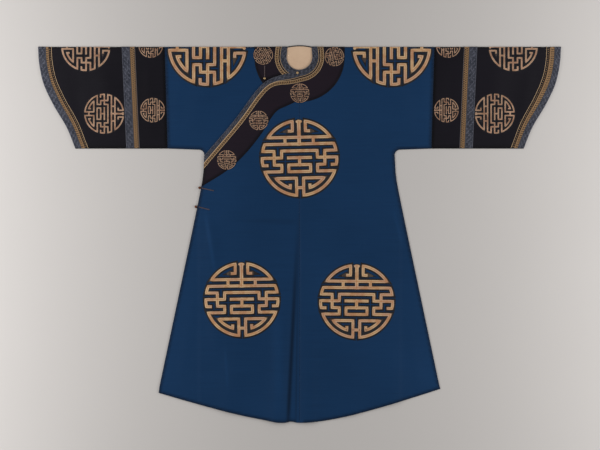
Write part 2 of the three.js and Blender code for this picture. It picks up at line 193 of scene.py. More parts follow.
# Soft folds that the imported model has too: top, foot, half width, height
FOLDS = [
    ((-50, -560), (-84, -1400), 34, 7),
    ((40, -640), (36, -1400), 30, 6),
    ((-330, -600), (-300, -1180), 32, 4),
    ((-200, -820), (-268, -1400), 40, 4),
    ((300, -560), (352, -1400), 46, 4),
    ((170, -900), (196, -1400), 38, 3),
    ((-330, -60), (-420, -330), 48, 3),
    ((330, -60), (420, -330), 48, 3),
    ((730, -50), (700, -330), 50, 3),
    ((-730, -50), (-700, -330), 50, 3),
]

# Small waves of the hem: middle, half width, height
HEM_DIPS = [(-31, 14, 5.0), (-82, 36, -3.0)]

# Painted shade in the crease troughs and painted highlight on the fold crowns, along lines: start, end,
# half width, darkness (paler when negative)
FOLD_SHADE_AND_HIGHLIGHT = [
    ((-1, -560), (-43, -1400), 13, 0.75),
    ((-2, -560), (-14, -1400), 6, 0.3),
    ((-240, -642), (-14, -646), 15, 0.16),
    ((-86, -930), (-74, -1400), 32, -0.14),
    ((-354, -585), (-308, -860), 12, -0.2),
    ((-276, -1100), (-265, -1280), 9, -0.14),
    ((343, -585), (384, -750), 12, -0.14),
]

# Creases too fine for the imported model: start, end, half width, height (troughs are negative)
CREASES = [
    ((-1, -600), (-43, -1400), 13, -3.2),
    ((-355, -560), (-306, -770), 14, 1.7),
    ((-266, -1020), (-272, -1210), 12, 0.9),
    ((12, -560), (9, -900), 12, 0.8),
    ((95, -700), (128, -1390), 20, 1.1),
    ((-130, -640), (-160, -1000), 18, -0.9),
    ((400, -980), (452, -1290), 22, 1.3),
    ((-390, -900), (-446, -1260), 22, 1.2),
    ((250, -620), (262, -860), 16, -0.8),
    ((-420, -704), (420, -698), 13, 0.6),
    ((-480, -1052), (480, -1046), 13, -0.6),
    ((210, -350), (352, -470), 20, 1.4),
    ((-250, -500), (-352, -440), 18, 1.0),
    ((180, -100), (240, -330), 20, 0.9),
    ((-430, -60), (-470, -330), 22, 1.0),
    ((450, -40), (468, -340), 20, 1.1),
    ((560, -60), (548, -350), 20, -0.9),
    ((-560, -40), (-552, -350), 20, 0.9),
    ((860, -70), (820, -250), 22, 0.9),
    ((-840, -60), (-806, -300), 22, -0.9),
]


def srgb(red, green, blue):
    """A colour given as it looks on a screen, from 0 to 255, as linear values."""

    def linear(level):
        share = level / 255
        return share / 12.92 if share <= 0.04045 else ((share + 0.055) / 1.055) ** 2.4

    return (linear(red), linear(green), linear(blue))


def smooth(share):
    share = np.clip(share, 0.0, 1.0)
    return share * share * (3 - 2 * share)


# Lines on the flat cut


def side_at(y):
    """Distance from the middle to the closed side of the robe at a height."""
    slope = (HEM_HALF - CHEST_HALF) / (CORNER_DROP - FLARE_FROM)
    run = -FLARE_FROM - y
    return CHEST_HALF + slope * (np.hypot(run, FLARE_SOFT) + run) / 2


def hem_at(x, side):
    """Height of the hem. It lifts a little where the central fold meets it."""
    dip = sum(rise * np.exp(-(((side * x - middle) / wide) ** 2)) for middle, wide, rise in HEM_DIPS)
    return -HEM_DROP + np.hypot(HEM_SPREAD * x, HEM_ROUND) - HEM_ROUND + side * HEM_LEAN * x + dip


def neck_edge(x):
    """Height of the back's neck edge over the shoulder line."""
    return NECK_RISE * (1 - (x / NECK_HALF) ** 2)


def on_back(y):
    """Place along the cut of a height on the back."""
    return TURN_LENGTH - 2 * TURN - y


def resample(points, step):
    """Points at even steps along each straight stretch, corners kept."""
    points = np.asarray(points, float)
    out = []
    for a, b in zip(points[:-1], points[1:]):
        count = max(1, int(math.ceil(np.hypot(*(b - a)) / step)))
        out.extend(a + (b - a) * i / count for i in range(count))
    out.append(points[-1])
    return np.array(out)


def runs_of(line):
    """How far along a line each of its points lies."""
    return np.concatenate([[0], np.cumsum(np.hypot(*np.diff(line, axis=0).T))])


def places_at(line, at):
    """Places at some distances along a line."""
    runs = runs_of(line)
    return np.column_stack([np.interp(at, runs, line[:, k]) for k in (0, 1)])


def respace(points, count):
    """The same line as evenly spaced points, corners not kept."""
    points = np.asarray(points, float)
    return places_at(points, np.linspace(0, runs_of(points)[-1], count))


def closed(parts, step):
    """A closed outline of some lines in order, as points at even steps."""
    return resample(np.vstack([*parts, parts[0][:1]]), step)[:-1]


def curve_through(points, count):
    """A smooth line through a few named points (centripetal Catmull-Rom), evenly spaced."""
    p = [np.array(q, float) for q in points]
    p = [2 * p[0] - p[1], *p, 2 * p[-1] - p[-2]]
    out = []
    for p0, p1, p2, p3 in zip(p[:-3], p[1:-2], p[2:-1], p[3:]):
        t0 = 0.0
        t1 = t0 + math.sqrt(np.hypot(*(p1 - p0)))
        t2 = t1 + math.sqrt(np.hypot(*(p2 - p1)))
        t3 = t2 + math.sqrt(np.hypot(*(p3 - p2)))
        for t in np.linspace(t1, t2, 24, endpoint=False):
            a1 = (t1 - t) / (t1 - t0) * p0 + (t - t0) / (t1 - t0) * p1
            a2 = (t2 - t) / (t2 - t1) * p1 + (t - t1) / (t2 - t1) * p2
            a3 = (t3 - t) / (t3 - t2) * p2 + (t - t2) / (t3 - t2) * p3
            b1 = (t2 - t) / (t2 - t0) * a1 + (t - t0) / (t2 - t0) * a2
            b2 = (t3 - t) / (t3 - t1) * a2 + (t - t1) / (t3 - t1) * a3
            out.append((t2 - t) / (t2 - t1) * b1 + (t - t1) / (t2 - t1) * b2)
    out.append(p[-2])
    return respace(out, count)


def normals(path):
    """Unit vectors to the left of a line at each of its points."""
    along = np.gradient(path, axis=0)
    along /= np.maximum(np.hypot(*along.T), 1e-9)[:, None]
    return np.column_stack([-along[:, 1], along[:, 0]])


def beside(path, distance):
    """The line moved to its left by a distance, or by one distance for each point."""
    return path + normals(path) * np.reshape(distance, (-1, 1))


def mirror(points, side):
    return np.asarray(points, float) * np.array([side, 1.0])


def arc(centre, radius, start, end, count):
    angles = np.radians(np.linspace(start, end, count))
    return np.column_stack([centre[0] + radius * np.cos(angles), centre[1] + radius * np.sin(angles)])


NECK_CENTRE = (0, -NECK_STRAIGHT)
NECK_ARC = arc(NECK_CENTRE, NECK_HALF, 0, -90, 13)
NECK_LEAN = 5
NECK_SIDE = np.array([(NECK_HALF - NECK_LEAN, TUCK), (NECK_HALF - NECK_LEAN, 0), (NECK_HALF - 2.4, -15)])
NECK_LINE = np.vstack([NECK_SIDE, NECK_ARC])
OVERLAP_LINE = curve_through(OVERLAP_EDGE, 70)
MOUTH_LINE = curve_through(CUFF_MOUTH, 48)


def longer(line, start=30, end=30):
    """A line with its ends drawn out straight, or drawn in where the distance is negative."""
    line = np.array(line, float)
    first, last = line[0] - line[1], line[-1] - line[-2]
    line[0] += first / np.hypot(*first) * start
    line[-1] += last / np.hypot(*last) * end
    return line


def split_at(line, places, axis):
    """The line with a point wherever it crosses one of some places along an axis."""
    out = [line[0]]
    for a, b in zip(line[:-1], line[1:]):
        run = b[axis] - a[axis]
        shares = [(place - a[axis]) / run for place in places if (a[axis] - place) * (b[axis] - place) < 0]
        out.extend(a + (b - a) * share for share in sorted(shares))
        out.append(b)
    return np.array(out)


def sleeve_line(ends, shift=0.0):
    """A line round the sleeve on the cut: front underside, over the shoulder, back underside."""
    top, foot = ends[0] + shift, ends[1] + shift
    return np.array([(foot, -UNDERARM), *((top, v) for v in FOLD_ROWS), (foot, on_back(-UNDERARM))])


def mouth_line():
    front = MOUTH_LINE[::-1]
    front = front[front[:, 1] < -TURN]
    back = front[::-1].copy()
    back[:, 1] = on_back(back[:, 1])
    top = [(CUFF_MOUTH[0][0], v) for v in FOLD_ROWS]
    return np.vstack([front, top, back])


def closed_side(side):
    """Under the sleeve, round the armpit and down the side to the corner of the hem."""
    under = -UNDERARM - ARMPIT_DROP
    corner = arc((CHEST_HALF + ARMPIT, under - ARMPIT), ARMPIT, 90, 180, 7)
    drops = np.linspace(430, CORNER_DROP - 20, 26)
    down = np.column_stack([side_at(-drops), -drops])
    end = [(HEM_HALF, hem_at(HEM_HALF, side))]
    return np.vstack([[(BODY_END[1], -UNDERARM)], corner, down, end])


# Where the cloth lies


def ridge(x, y, start, end, half_width, height):
    """One soft fold between two points, as a height. It dies away at its ends."""
    (x0, y0), (x1, y1) = start, end
    run = np.hypot(x1 - x0, y1 - y0)
    ux, uy = (x1 - x0) / run, (y1 - y0) / run
    along = ((x - x0) * ux + (y - y0) * uy) / run
    across = (x - x0) * -uy + (y - y0) * ux
    ends = smooth(along * FOLD_ENDS) * smooth((1 - along) * FOLD_ENDS)
    return height * ends * np.exp(-((across / half_width) ** 2))


def closed_gap(x, y):
    """Distance to the nearest closed edge: the underarm, the armpit or the side."""
    x = np.abs(x)
    under = y + UNDERARM + np.where(x < BODY_END[1], ARMPIT_DROP * (BODY_END[1] - x) / SLEEVE_ROOT, 0)
    side = side_at(y) - x
    corner_x = CHEST_HALF + ARMPIT
    corner_y = -UNDERARM - ARMPIT_DROP - ARMPIT
    corner = np.hypot(corner_x - x, corner_y - y) - ARMPIT
    inner = (x < corner_x) & (y > corner_y)
    return np.where(inner, corner, np.where(x >= corner_x, under, side))


def relief(x, y, outer, depth):
    """Height of the front's surface over where it would lie flat."""
    from_top = smooth((-FADE_FROM - y) / FADE)
    on_sleeve = smooth((y + UNDERARM - FADE_FROM) / FADE)
    in_body = smooth((side_at(np.minimum(y, -UNDERARM)) - FADE_FROM - np.abs(x)) / FADE)
    fade = from_top * np.maximum(on_sleeve, in_body)
    height = np.zeros_like(x)
    for top, foot, half_width, rise in FOLDS:
        share = (top[1] - y) / (top[1] - foot[1])
        across = x - (top[0] + (foot[0] - top[0]) * share)
        ends = smooth(share * FOLD_ENDS) * smooth((1 - share) * FOLD_ENDS)
        if foot[1] < -HEM_DROP:
            ends = smooth(share)
        height += rise * ends * np.exp(-((across / half_width) ** 2))
    for crease in CREASES:
        height += depth * ridge(x, y, *crease)
    slow = np.sin(x / 61 + y / 173) + np.sin(y / 97 - x / 149) + np.sin(x / 38 - y / 71) / 2
    height += depth * SLOW_WAVES * slow
    height = np.maximum(height * fade, DEEPEST)
    if outer:
        below = smooth((-FADE_FROM - y) / OVERLAP_START)
        height += OVERLAP_RISE * smooth((OVERLAP_RUN - x) / OVERLAP_RUN) * below
    return height - EDGE_DROP * (1 - smooth(closed_gap(x, y) / EDGE_ROUND))


def drape(flat, lift, outer=False, depth=1.0):
    """Lays points of the flat cut on the robe. lift is how far each stands out of the cloth."""
    x, v = flat[:, 0], flat[:, 1]
    lift = np.broadcast_to(lift, x.shape)
    angle = np.clip((v + TURN) / TURN, 0, math.pi)
    lift = np.where(lift > 0, lift * (1 - PRESSED * smooth(angle * 2 / math.pi - 1)), lift)
    down = np.maximum(v + TURN - TURN_LENGTH, 0)
    front = v <= -TURN
    y = np.where(front, v, -TURN + (TURN + lift) * np.sin(angle) - down)
    z = BACK_LOW + TURN + (TURN + lift) * np.cos(angle)
    z = z + np.where(front, relief(x, np.minimum(v, 0), outer, depth), 0)
    # The back's neck edge has no front above it and lies flat
    level = smooth((NECK_HALF - np.abs(x)) / 8) * (v > -20)
    y = y + (on_back(0) - v - y) * level
    z = z + (BACK_LOW - lift - z) * level
    return np.column_stack([x, y + SHOULDER_Y, z]) * MM


# Meshes


def closed_volume(verts, tris):
    a, b, c = (verts[tris[:, k]] for k in range(3))
    return float(np.einsum("ij,ij->i", a, np.cross(b, c)).sum() / 6)


def make_mesh(name, verts, faces, material, uv=None, values=None):
    """A smooth mesh object. uv holds one pair and values one number for each vertex."""
    mesh = bpy.data.meshes.new(name)
    mesh.from_pydata(verts.tolist(), [], [list(map(int, f)) for f in faces])
    mesh.materials.append(material)
    mesh.shade_smooth()
    corners = np.empty(len(mesh.loops), dtype=np.int32)
    mesh.loops.foreach_get("vertex_index", corners)
    if uv is not None:
        layer = mesh.uv_layers.new(name="cut")
        layer.data.foreach_set("uv", np.ascontiguousarray(uv[corners], dtype=np.float32).ravel())
    for label, data in (values or {}).items():
        attribute = mesh.attributes.new(label, "FLOAT", "POINT")
        attribute.data.foreach_set("value", np.ascontiguousarray(data, dtype=np.float32))
    mesh.update()
    obj = bpy.data.objects.new(name, mesh)
    bpy.context.scene.collection.objects.link(obj)
    return obj


def inside(points, polygon):
    """Which points lie in a polygon."""
    found = np.zeros(len(points), bool)
    x, y = points.T
    for (x0, y0), (x1, y1) in zip(polygon, np.roll(polygon, -1, axis=0)):
        if y0 == y1:
            continue
        crosses = (y0 > y) != (y1 > y)
        found ^= crosses & (x < x0 + (x1 - x0) * (y - y0) / (y1 - y0))
    return found


def nearest(points, starts, ends):
    """Distance from each point to the nearest of some straight stretches."""
    best = np.full(len(points), 1e9)
    for a, b in zip(starts, ends):
        run = b - a
        length = max(float(run @ run), 1e-12)
        share = np.clip((points - a) @ run / length, 0, 1)
        best = np.minimum(best, np.hypot(*(points - a - share[:, None] * run).T))
    return best


def beside_line(points, line, half):
    """Which points lie within a distance of a line, square to one of its stretches."""
    found = np.zeros(len(points), bool)
    for a, b in zip(line[:-1], line[1:]):
        run = (b - a) / np.hypot(*(b - a))
        along = (points - a) @ run
        across = np.abs((points - a) @ (-run[1], run[0]))
        found |= (along > 0) & (along < np.hypot(*(b - a))) & (across < half)
    return found


def cross(a, b):
    return a[0] * b[1] - a[1] * b[0]


def triangulate(points, loops, strokes=()):
    """Triangles inside closed loops, given as lists of point numbers, and inside strokes."""
    corners = np.asarray(points, float)
    found = delaunay_2d_cdt([Vector(p) for p in points], [], loops, 0, 1e-6, False)
    flat = np.array([tuple(v) for v in found[0]])
    tris = np.array(found[2])
    a, b, c = (flat[tris[:, k]] for k in range(3))
    turned = cross((b - a).T, (c - a).T) < 0
    tris[turned] = tris[turned][:, ::-1]
    middles = (a + b + c) / 3
    kept = np.zeros(len(tris), bool)
    for loop in loops:
        kept |= inside(middles, corners[loop])
    for line, half in strokes:
        kept |= beside_line(middles, line, half)
    return flat, tris[kept]


def open_edges(tris):
    """The two ends of each edge that only one triangle has."""
    edges = np.vstack([tris[:, [0, 1]], tris[:, [1, 2]], tris[:, [2, 0]]])
    ordered = np.sort(edges, axis=1)
    _, first, times = np.unique(ordered, axis=0, return_index=True, return_counts=True)
    return edges[first[times == 1]].T


def edge_points(tris, count):
    """Which points lie on an open edge of a set of triangles."""
    rim = np.zeros(count, bool)
    rim[open_edges(tris).ravel()] = True
    return rim


def cut_piece(outline, spacing):
    """A flat piece as triangles. Returns its points, triangles and which points are on its edge."""
    outline = split_at(np.vstack([outline, outline[:1]]), FOLD_ROWS, 1)[:-1]
    if cross(outline.T, np.roll(outline, -1, axis=0).T).sum() < 0:
        outline = outline[::-1]
    ring = beside(np.vstack([outline[-1:], outline, outline[:1]]), INSET)[1:-1]
    low, high = outline.min(0), outline.max(0)
    rows = np.arange(low[1] + spacing, high[1], spacing * ROW_GAP)
    columns = np.arange(low[0], high[0], spacing)
    moved = [columns + spacing * (0.25 + 0.5 * (i % 2)) for i in range(len(rows))]
    grid = np.vstack([np.column_stack([xs, np.full(len(xs), y)]) for xs, y in zip(moved, rows)])
    grid = grid[(grid[:, 1] < FOLD_ROWS[0] - FOLD_CLEAR) | (grid[:, 1] > FOLD_ROWS[-1] + FOLD_CLEAR)]
    fold = np.stack(np.meshgrid(columns + spacing * 0.5, FOLD_ROWS), -1).reshape(-1, 2)
    grid = np.vstack([grid, fold])
    clear = np.full(len(grid), spacing * RIM_CLEAR)
    clear[-len(fold):] = FOLD_CLEAR / 2
    grid = grid[inside(grid, outline) & (nearest(grid, outline, np.roll(outline, -1, axis=0)) > clear)]
    points = np.vstack([outline, ring[inside(ring, outline)], grid])
    flat, tris = triangulate(points, [list(range(len(outline)))])
    return flat, tris, edge_points(tris, len(flat))


def edge_shade(flat, outline):
    """Painted shade along a piece's turned edges, where the cloth turns under: 1 along them and 0 away
    from them. The centre seams are left out.
    """
    shade = np.clip(1.6 - nearest(flat, outline, np.roll(outline, -1, axis=0)) / SHADE_RUN, 0, 1)
    turned = (flat[:, 1] > FOLD_ROWS[0] - 2) & (flat[:, 1] < FOLD_ROWS[-1] + 2)
    return np.where(turned, 1.0, shade) * (np.abs(flat[:, 0]) > SEAM_HALF)


def two_walls(name, top, bottom, cut, material, values=None):
    """A closed piece from the places of its two faces, which share the points of its edge."""
    flat, tris, rim = cut
    lower = np.arange(len(flat))
    lower[~rim] = len(flat) + np.arange(np.count_nonzero(~rim))
    verts = np.vstack([top, bottom[~rim]])
    faces = np.vstack([tris, lower[tris][:, ::-1]])
    if closed_volume(verts, faces) < 0:
        faces = faces[:, ::-1]
    uv = np.vstack([flat, flat[~rim]]) * MM
    values = {label: np.append(data, data[~rim]) for label, data in (values or {}).items()}
    return make_mesh(name, verts, faces, material, uv, values)


def shell(name, outline, material, low, high, spacing, outer=False, depth=1.0, sewn=False):
    """A closed cloth piece cut to an outline and laid on the robe, from low to high out of the cloth.

    Where it is sewn, its edges along the underarm and the side meet those of the other wall."""
    flat, tris, rim = cut_piece(outline, spacing)
    middle = (low + high) / 2
    top = drape(flat, np.where(rim, middle, high), outer, depth)
    bottom = drape(flat, np.where(rim, middle, low), outer, depth)
    if sewn:
        y = np.where(flat[:, 1] > 0, on_back(flat[:, 1]), flat[:, 1])
        meets = rim & (np.abs(closed_gap(flat[:, 0], y)) < 1.0)
        top[meets, 2] = (BACK_LOW - low) * MM
        bottom[meets, 2] = top[meets, 2]
    # Painted shade along the turned edges and the shoulder turn, which the cloth's paint darkens
    edge = edge_shade(flat, np.asarray(outline, float))
    obj = two_walls(name, top, bottom, (flat, tris, rim), material, {"edge": edge})
    a, b, c = (flat[tris[:, k]] for k in range(3))
    doubled = np.abs(cross((b - a).T, (c - a).T))
    return obj, float(doubled.sum() / 2) * MM * MM


def strip(name, placed, along, widths, material):
    """A closed strip from the lines of its section, each a row of places, in order round it."""
    count, ring = len(placed[0]), len(placed)
    verts = np.stack(placed, axis=1).reshape(-1, 3)
    faces = []
    for i in range(count - 1):
        for j in range(ring):
            k = (j + 1) % ring
            faces.append((i * ring + j, i * ring + k, (i + 1) * ring + k, (i + 1) * ring + j))
    faces.append(tuple(range(ring))[::-1])
    faces.append(tuple((count - 1) * ring + j for j in range(ring)))
    uv = np.column_stack([np.repeat(along, ring), np.tile(np.array(widths), count)])
    tris = np.array([(f[0], f[i], f[i + 1]) for f in faces for i in range(1, len(f) - 1)])
    if closed_volume(verts - verts.mean(0), tris) < 0:
        faces = [f[::-1] for f in faces]
    return make_mesh(name, verts, faces, material, uv)


def lay_line(line, lift, outer):
    """A line for a cord to follow. Under the back it stays clear of the floor."""
    placed = drape(line, lift, outer)
    placed[:, 2] = np.maximum(placed[:, 2], CORD_CLEAR * MM)
    return placed


def lay_steps(line, pitch, first, lift, outer):
    """Places along a line, a pitch apart, on the front only."""
    steps = places_at(line, np.arange(first, runs_of(line)[-1] - 1, pitch))
    return drape(steps[steps[:, 1] < -4], lift, outer)


def between(line, start, end):
    """The part of a line between two others."""
    if start is not None:
        line = cut_at(line[::-1], start)[::-1]
    return cut_at(line, end) if end is not None else line


def cut_at(line, cutter):
    """The start of a line, up to where it first meets another line."""
    for i, (p, q) in enumerate(zip(line[:-1], line[1:])):
        for a, b in zip(cutter[:-1], cutter[1:]):
            r, s = q - p, b - a
            turn = cross(r, s)
            if abs(turn) < 1e-12:
                continue
            t = cross(a - p, s) / turn
            u = cross(a - p, r) / turn
            if 0 <= t <= 1 and 0 <= u <= 1:
                return np.vstack([line[: i + 1], [p + r * t]])
    return line


# Section of a ribbon or braid: share of its width, and share of its height. The first and the last
# points lie under it.
SECTIONS = {
    "ribbon": [(0.03, 0), (0, 0.5), (0.03, 1), (0.12, 0.92), (0.5, 0.9)]
    + [(0.88, 0.92), (0.97, 1), (1, 0.5), (0.97, 0)],
    "braid": [(0.03, 0), (0, 0.45), (0.05, 0.9), (0.12, 1), (0.2, 0.85), (0.27, 0.6), (0.5, 0.55)]
    + [(0.73, 0.6), (0.8, 0.85), (0.88, 1), (0.95, 0.9), (1, 0.45), (0.97, 0)],
}


def shares_along(fine, count):
    """Steps along a line, as shares of it. The first part, over the shoulder, has finer ones."""
    return np.concatenate([np.linspace(0, fine, 26), np.linspace(fine, 1, count)[1:]])


def trim(name, edge, near, far, material, section):
    """A ribbon or braid beside an edge of the cut, between two distances from it, and its flat size.

    The edge's steps are shares of its length, or heights on the cut where it goes round a sleeve."""
    near = np.broadcast_to(near, len(edge.path))
    far = np.broadcast_to(far, len(edge.path))
    rails = []
    for share, _ in section:
        rail = beside(edge.path, near + (far - near) * share)
        if edge.steps[0] < 0:
            rails.append(np.column_stack([np.interp(edge.steps, rail[:, 1], rail[:, 0]), edge.steps]))
        else:
            rail = between(rail, *edge.ends)
            rails.append(places_at(rail, edge.steps * runs_of(rail)[-1]))
    lifts = [edge.low + (edge.top - edge.low) * rise for _, rise in section]
    placed = [drape(rail, lift, edge.outer) for rail, lift in zip(rails, lifts)]
    along = runs_of(np.mean(rails, axis=0)) * MM
    obj = strip(name, placed, along, [share for share, _ in section], material)
    return obj, (float(np.mean(np.abs(far - near))) * MM, float(along[-1]))


# Shader maths


def sums(operation, swapped=False):
    """A method that puts a value and others through one Math node."""

    def method(self, *others):
        values = (*others, self) if swapped else (self, *others)
        return self.paint.add("ShaderNodeMath", {"operation": operation}, dict(enumerate(values)))

    return method


class Wire:
    """A node's output that can be added, multiplied and compared like a number."""

    def __init__(self, paint, socket):
        self.paint = paint
        self.socket = socket

    __add__ = __radd__ = sums("ADD")
    __sub__ = sums("SUBTRACT")
    __rsub__ = sums("SUBTRACT", swapped=True)
    __mul__ = __rmul__ = sums("MULTIPLY")
    __truediv__ = sums("DIVIDE")
    __abs__ = sums("ABSOLUTE")
    sine = sums("SINE")
    most = sums("MAXIMUM")

    def __neg__(self):
        return self * -1.0

    def ramp(self, low, high):
        """0 below low, 1 above high, smooth between."""
        return self.paint.add(
            "ShaderNodeMapRange",
            {"interpolation_type": "SMOOTHSTEP"},
            {"Value": self, "From Min": low, "From Max": high},
        )


class Paint:
    """Builds one material."""

    def __init__(self, name):
        self.material = bpy.data.materials.new(name)
        self.material.use_nodes = True
        self.nodes = self.material.node_tree.nodes
        self.links = self.material.node_tree.links
        self.shader = self.nodes["Principled BSDF"]

    def put(self, socket, value):
        if isinstance(value, Wire):
            self.links.new(value.socket, socket)
        elif hasattr(value, "__len__") and len(value) == 3 and len(socket.default_value) == 4:
            socket.default_value = (*value, 1.0)
        else:
            socket.default_value = value

    def add(self, kind, settings=None, sockets=None, out=0):
        node = self.nodes.new(kind)
        for name, value in (settings or {}).items():
            setattr(node, name, value)
        for name, value in (sockets or {}).items():
            self.put(node.inputs[name], value)
        return Wire(self, node.outputs[out])

    def set(self, **values):
        sockets = {socket.name.lower().replace(" ", "_"): socket for socket in self.shader.inputs}
        for name, value in values.items():
            self.put(sockets[name], value)

    def cut(self):
        """The piece's own flat coordinates, in metres, as two numbers."""
        flat = self.add("ShaderNodeUVMap", {"uv_map": "cut"})
        split = self.add("ShaderNodeSeparateXYZ", None, {0: flat})
        return flat, split, Wire(self, split.socket.node.outputs[1])

    def place(self):
        return self.add("ShaderNodeTexCoord", out="Object")

    def noise(self, vector, scale, detail=2.0, stretch=(1, 1, 1)):
        moved = self.add("ShaderNodeMapping", None, {"Vector": vector, "Scale": stretch})
        sockets = {"Vector": moved, "Scale": scale, "Detail": detail}
        return self.add("ShaderNodeTexNoise", None, sockets)

    def mix(self, share, first, second):
        sockets = {0: share, 6: first, 7: second}
        return self.add("ShaderNodeMix", {"data_type": "RGBA"}, sockets, out=2)

    def bump(self, height, distance, strength):
        sockets = {"Height": height, "Distance": distance, "Strength": strength}
        self.put(self.shader.inputs["Normal"], self.add("ShaderNodeBump", None, sockets))


TWO_PI = 2 * math.pi
THREAD = 0.0007


def woven(across, along, pitch):
    """Height of a plain weave of a thread pitch in metres."""
    return (across * (TWO_PI / pitch)).sine() * (along * (TWO_PI / pitch)).sine()


def painted_fold_light(x, y, darker):
    """How strongly the painted light along the folds shows at a place of the silk: the painted shade when
    darker, the painted highlight when not.
    """
    total = 0.0
    for start, end, half_width, tone in FOLD_SHADE_AND_HIGHLIGHT:
        if (tone > 0) != darker:
            continue
        (x0, y0), (x1, y1) = ((q[0] * MM, q[1] * MM) for q in (start, end))
        run = math.hypot(x1 - x0, y1 - y0)
        ux, uy = (x1 - x0) / run, (y1 - y0) / run
        moved_x, moved_y = x - x0, y - y0
        along = (moved_x * ux + moved_y * uy) / run
        across = abs(moved_y * ux - moved_x * uy)
        if darker:
            fades = along.ramp(0.0, 0.6) * (1 - along.ramp(0.9, 1.1))
        else:
            fades = along.ramp(0, 0.3) * (1 - along.ramp(0.7, 1))
        total = (1 - across.ramp(0.0, half_width * MM)) * fades * abs(tone) + total
    return total


def silk_paint(name, deep, pale, rough, shade_folds=False):
    """Silk with faint weft streaks, slow changes of tone, painted shade along its turned edges and a fine
    weave. When asked, it also has painted shade in the crease troughs and painted highlight on the fold
    crowns.
    """
    paint = Paint(name)
    flat, across, along = paint.cut()
    streaks = paint.noise(flat, 60, 3.0, (0.12, 4.0, 1.0))
    slow = paint.noise(flat, 2.2, 2.0)
    colour = paint.mix(streaks * 0.6 + slow * 0.8 - 0.2, deep, pale)
    # Painted shade: the cloth darkens towards a quarter of its deep colour along its turned edges, where
    # it turns under
    edge = paint.add("ShaderNodeAttribute", {"attribute_name": "edge"}, out="Fac")
    dark = tuple(c * 0.25 for c in deep)
    colour = paint.mix(edge * 0.75, colour, dark)
    # Painted shade in the crease troughs and painted highlight on the fold crowns
    if shade_folds:
        down = -abs(along)
        colour = paint.mix(painted_fold_light(across, down, True), colour, dark)
        colour = paint.mix(painted_fold_light(across, down, False), colour, tuple(c * 1.5 for c in pale))
    paint.set(base_color=colour, roughness=streaks * 0.15 + rough)
    paint.set(sheen_weight=0.03, sheen_roughness=0.4, specular_ior_level=0.12)
    paint.bump(woven(across, along, THREAD) * 0.4 + streaks, 0.00012, 0.6)
    return paint.material


def ribbon_paint(name, deep, pale):
    """Brocade ribbon: leafy scrolls, unevenly worn, between two pale selvedges."""
    paint = Paint(name)
    flat, along, across = paint.cut()
    drift = paint.noise(flat, 55, 2.0, (1.0, 0.02, 1.0)) - 0.5
    bent = across + drift * 0.9
    wave = (along * (TWO_PI / 0.034)).sine() * 0.22 + 0.5
    stem = abs(bent - wave).ramp(0.09, 0.03)
    leaves = (along * (TWO_PI / 0.017) + drift * 9).sine() * (bent * (TWO_PI / 0.55)).sine()
    speck = paint.noise(flat, 420, 3.0, (1.0, 0.025, 1.0)).ramp(0.38, 0.62)
    worn = paint.noise(flat, 24, 3.0, (1.0, 0.05, 1.0)).ramp(0.3, 0.7)
    selvedge = abs(across - 0.5).ramp(0.42, 0.47)
    share = (stem * 0.8).most(leaves.ramp(0.3, 0.75)) * 0.5 + speck * 0.35 + worn * 0.25 - 0.08
    share = share.most(selvedge * 0.9)
    paint.set(base_color=paint.mix(share, deep, pale), roughness=share * -0.12 + 0.66)
    paint.set(sheen_weight=0.05, sheen_roughness=0.5, specular_ior_level=0.15)
    paint.bump(share + woven(along, across * 0.02, 0.0009) * 0.3, 0.0003, 0.6)
    return paint.material


def braid_paint(name, deep, pale):
    """Gold braid: a chain of lozenges with dark between them, and two corded edges."""
    paint = Paint(name)
    flat, along, across = paint.cut()
    middle = abs(across - 0.5)
    chain = abs((along * (math.pi / 0.0084)).sine())
    gap = (middle * 1.8 - chain * 0.7).ramp(0.05, 0.2) * 0.75
    twist = (along * (TWO_PI / 0.0022) + across * 40).sine() * 0.5 + 0.5
    fleck = paint.noise(flat, 900, 2.0, (1.0, 0.02, 1.0))
    share = twist * 0.3 + fleck * 0.9 - 0.1
    colour = paint.mix(gap, paint.mix(share, deep, pale), (0.014, 0.009, 0.007))
    paint.set(base_color=colour, roughness=0.55)
    paint.set(specular_ior_level=0.3)
    paint.bump(twist * 0.6 + fleck * 0.4 - gap, 0.0003, 0.7)
    return paint.material


def gold_paint(name, core, pale, rose, dark):
    """Couched gold thread: rows that follow each stroke, worn in patches, with darker edges."""
    paint = Paint(name)
    place = paint.place()
    row = paint.add("ShaderNodeAttribute", {"attribute_name": "across"}, out="Fac")
    threads = (row * (TWO_PI * 3)).sine()
    fleck = paint.noise(place, 520, 3.0)
    patch = paint.noise(place, 42, 3.0)
    tint = paint.noise(place, 17, 2.0)
    line = row.ramp(0.34, 0.08)
    worn = patch.ramp(0.42, 0.66)
    share = (line * 0.75).most(worn * 0.55) + fleck * 0.4 - 0.16
    colour = paint.mix(tint.ramp(0.4, 0.62), pale, rose)
    colour = paint.mix(share, colour, core)
    edge = row.ramp(0.68, 1.0) * 0.9
    colour = paint.mix(edge, colour, dark)
    paint.set(base_color=colour, roughness=fleck * 0.2 + 0.45, metallic=0.15)
    paint.set(specular_ior_level=0.3)
    paint.bump(threads * 0.5 + fleck, 0.0002, 0.7)
    return paint.material


def plain_paint(name, colour, rough, metallic=0.0, grain=300, amount=0.25, bump=0.0001):
    """A finish with fine grain for small pieces."""
    paint = Paint(name)
    grains = paint.noise(paint.place(), grain, 3.0)
    darker = tuple(c * (1 - amount) for c in colour)
    paint.set(base_color=paint.mix(grains, darker, colour), roughness=grains * 0.15 + rough)
    paint.set(metallic=metallic)
    paint.bump(grains, bump, 0.6)
    return paint.material


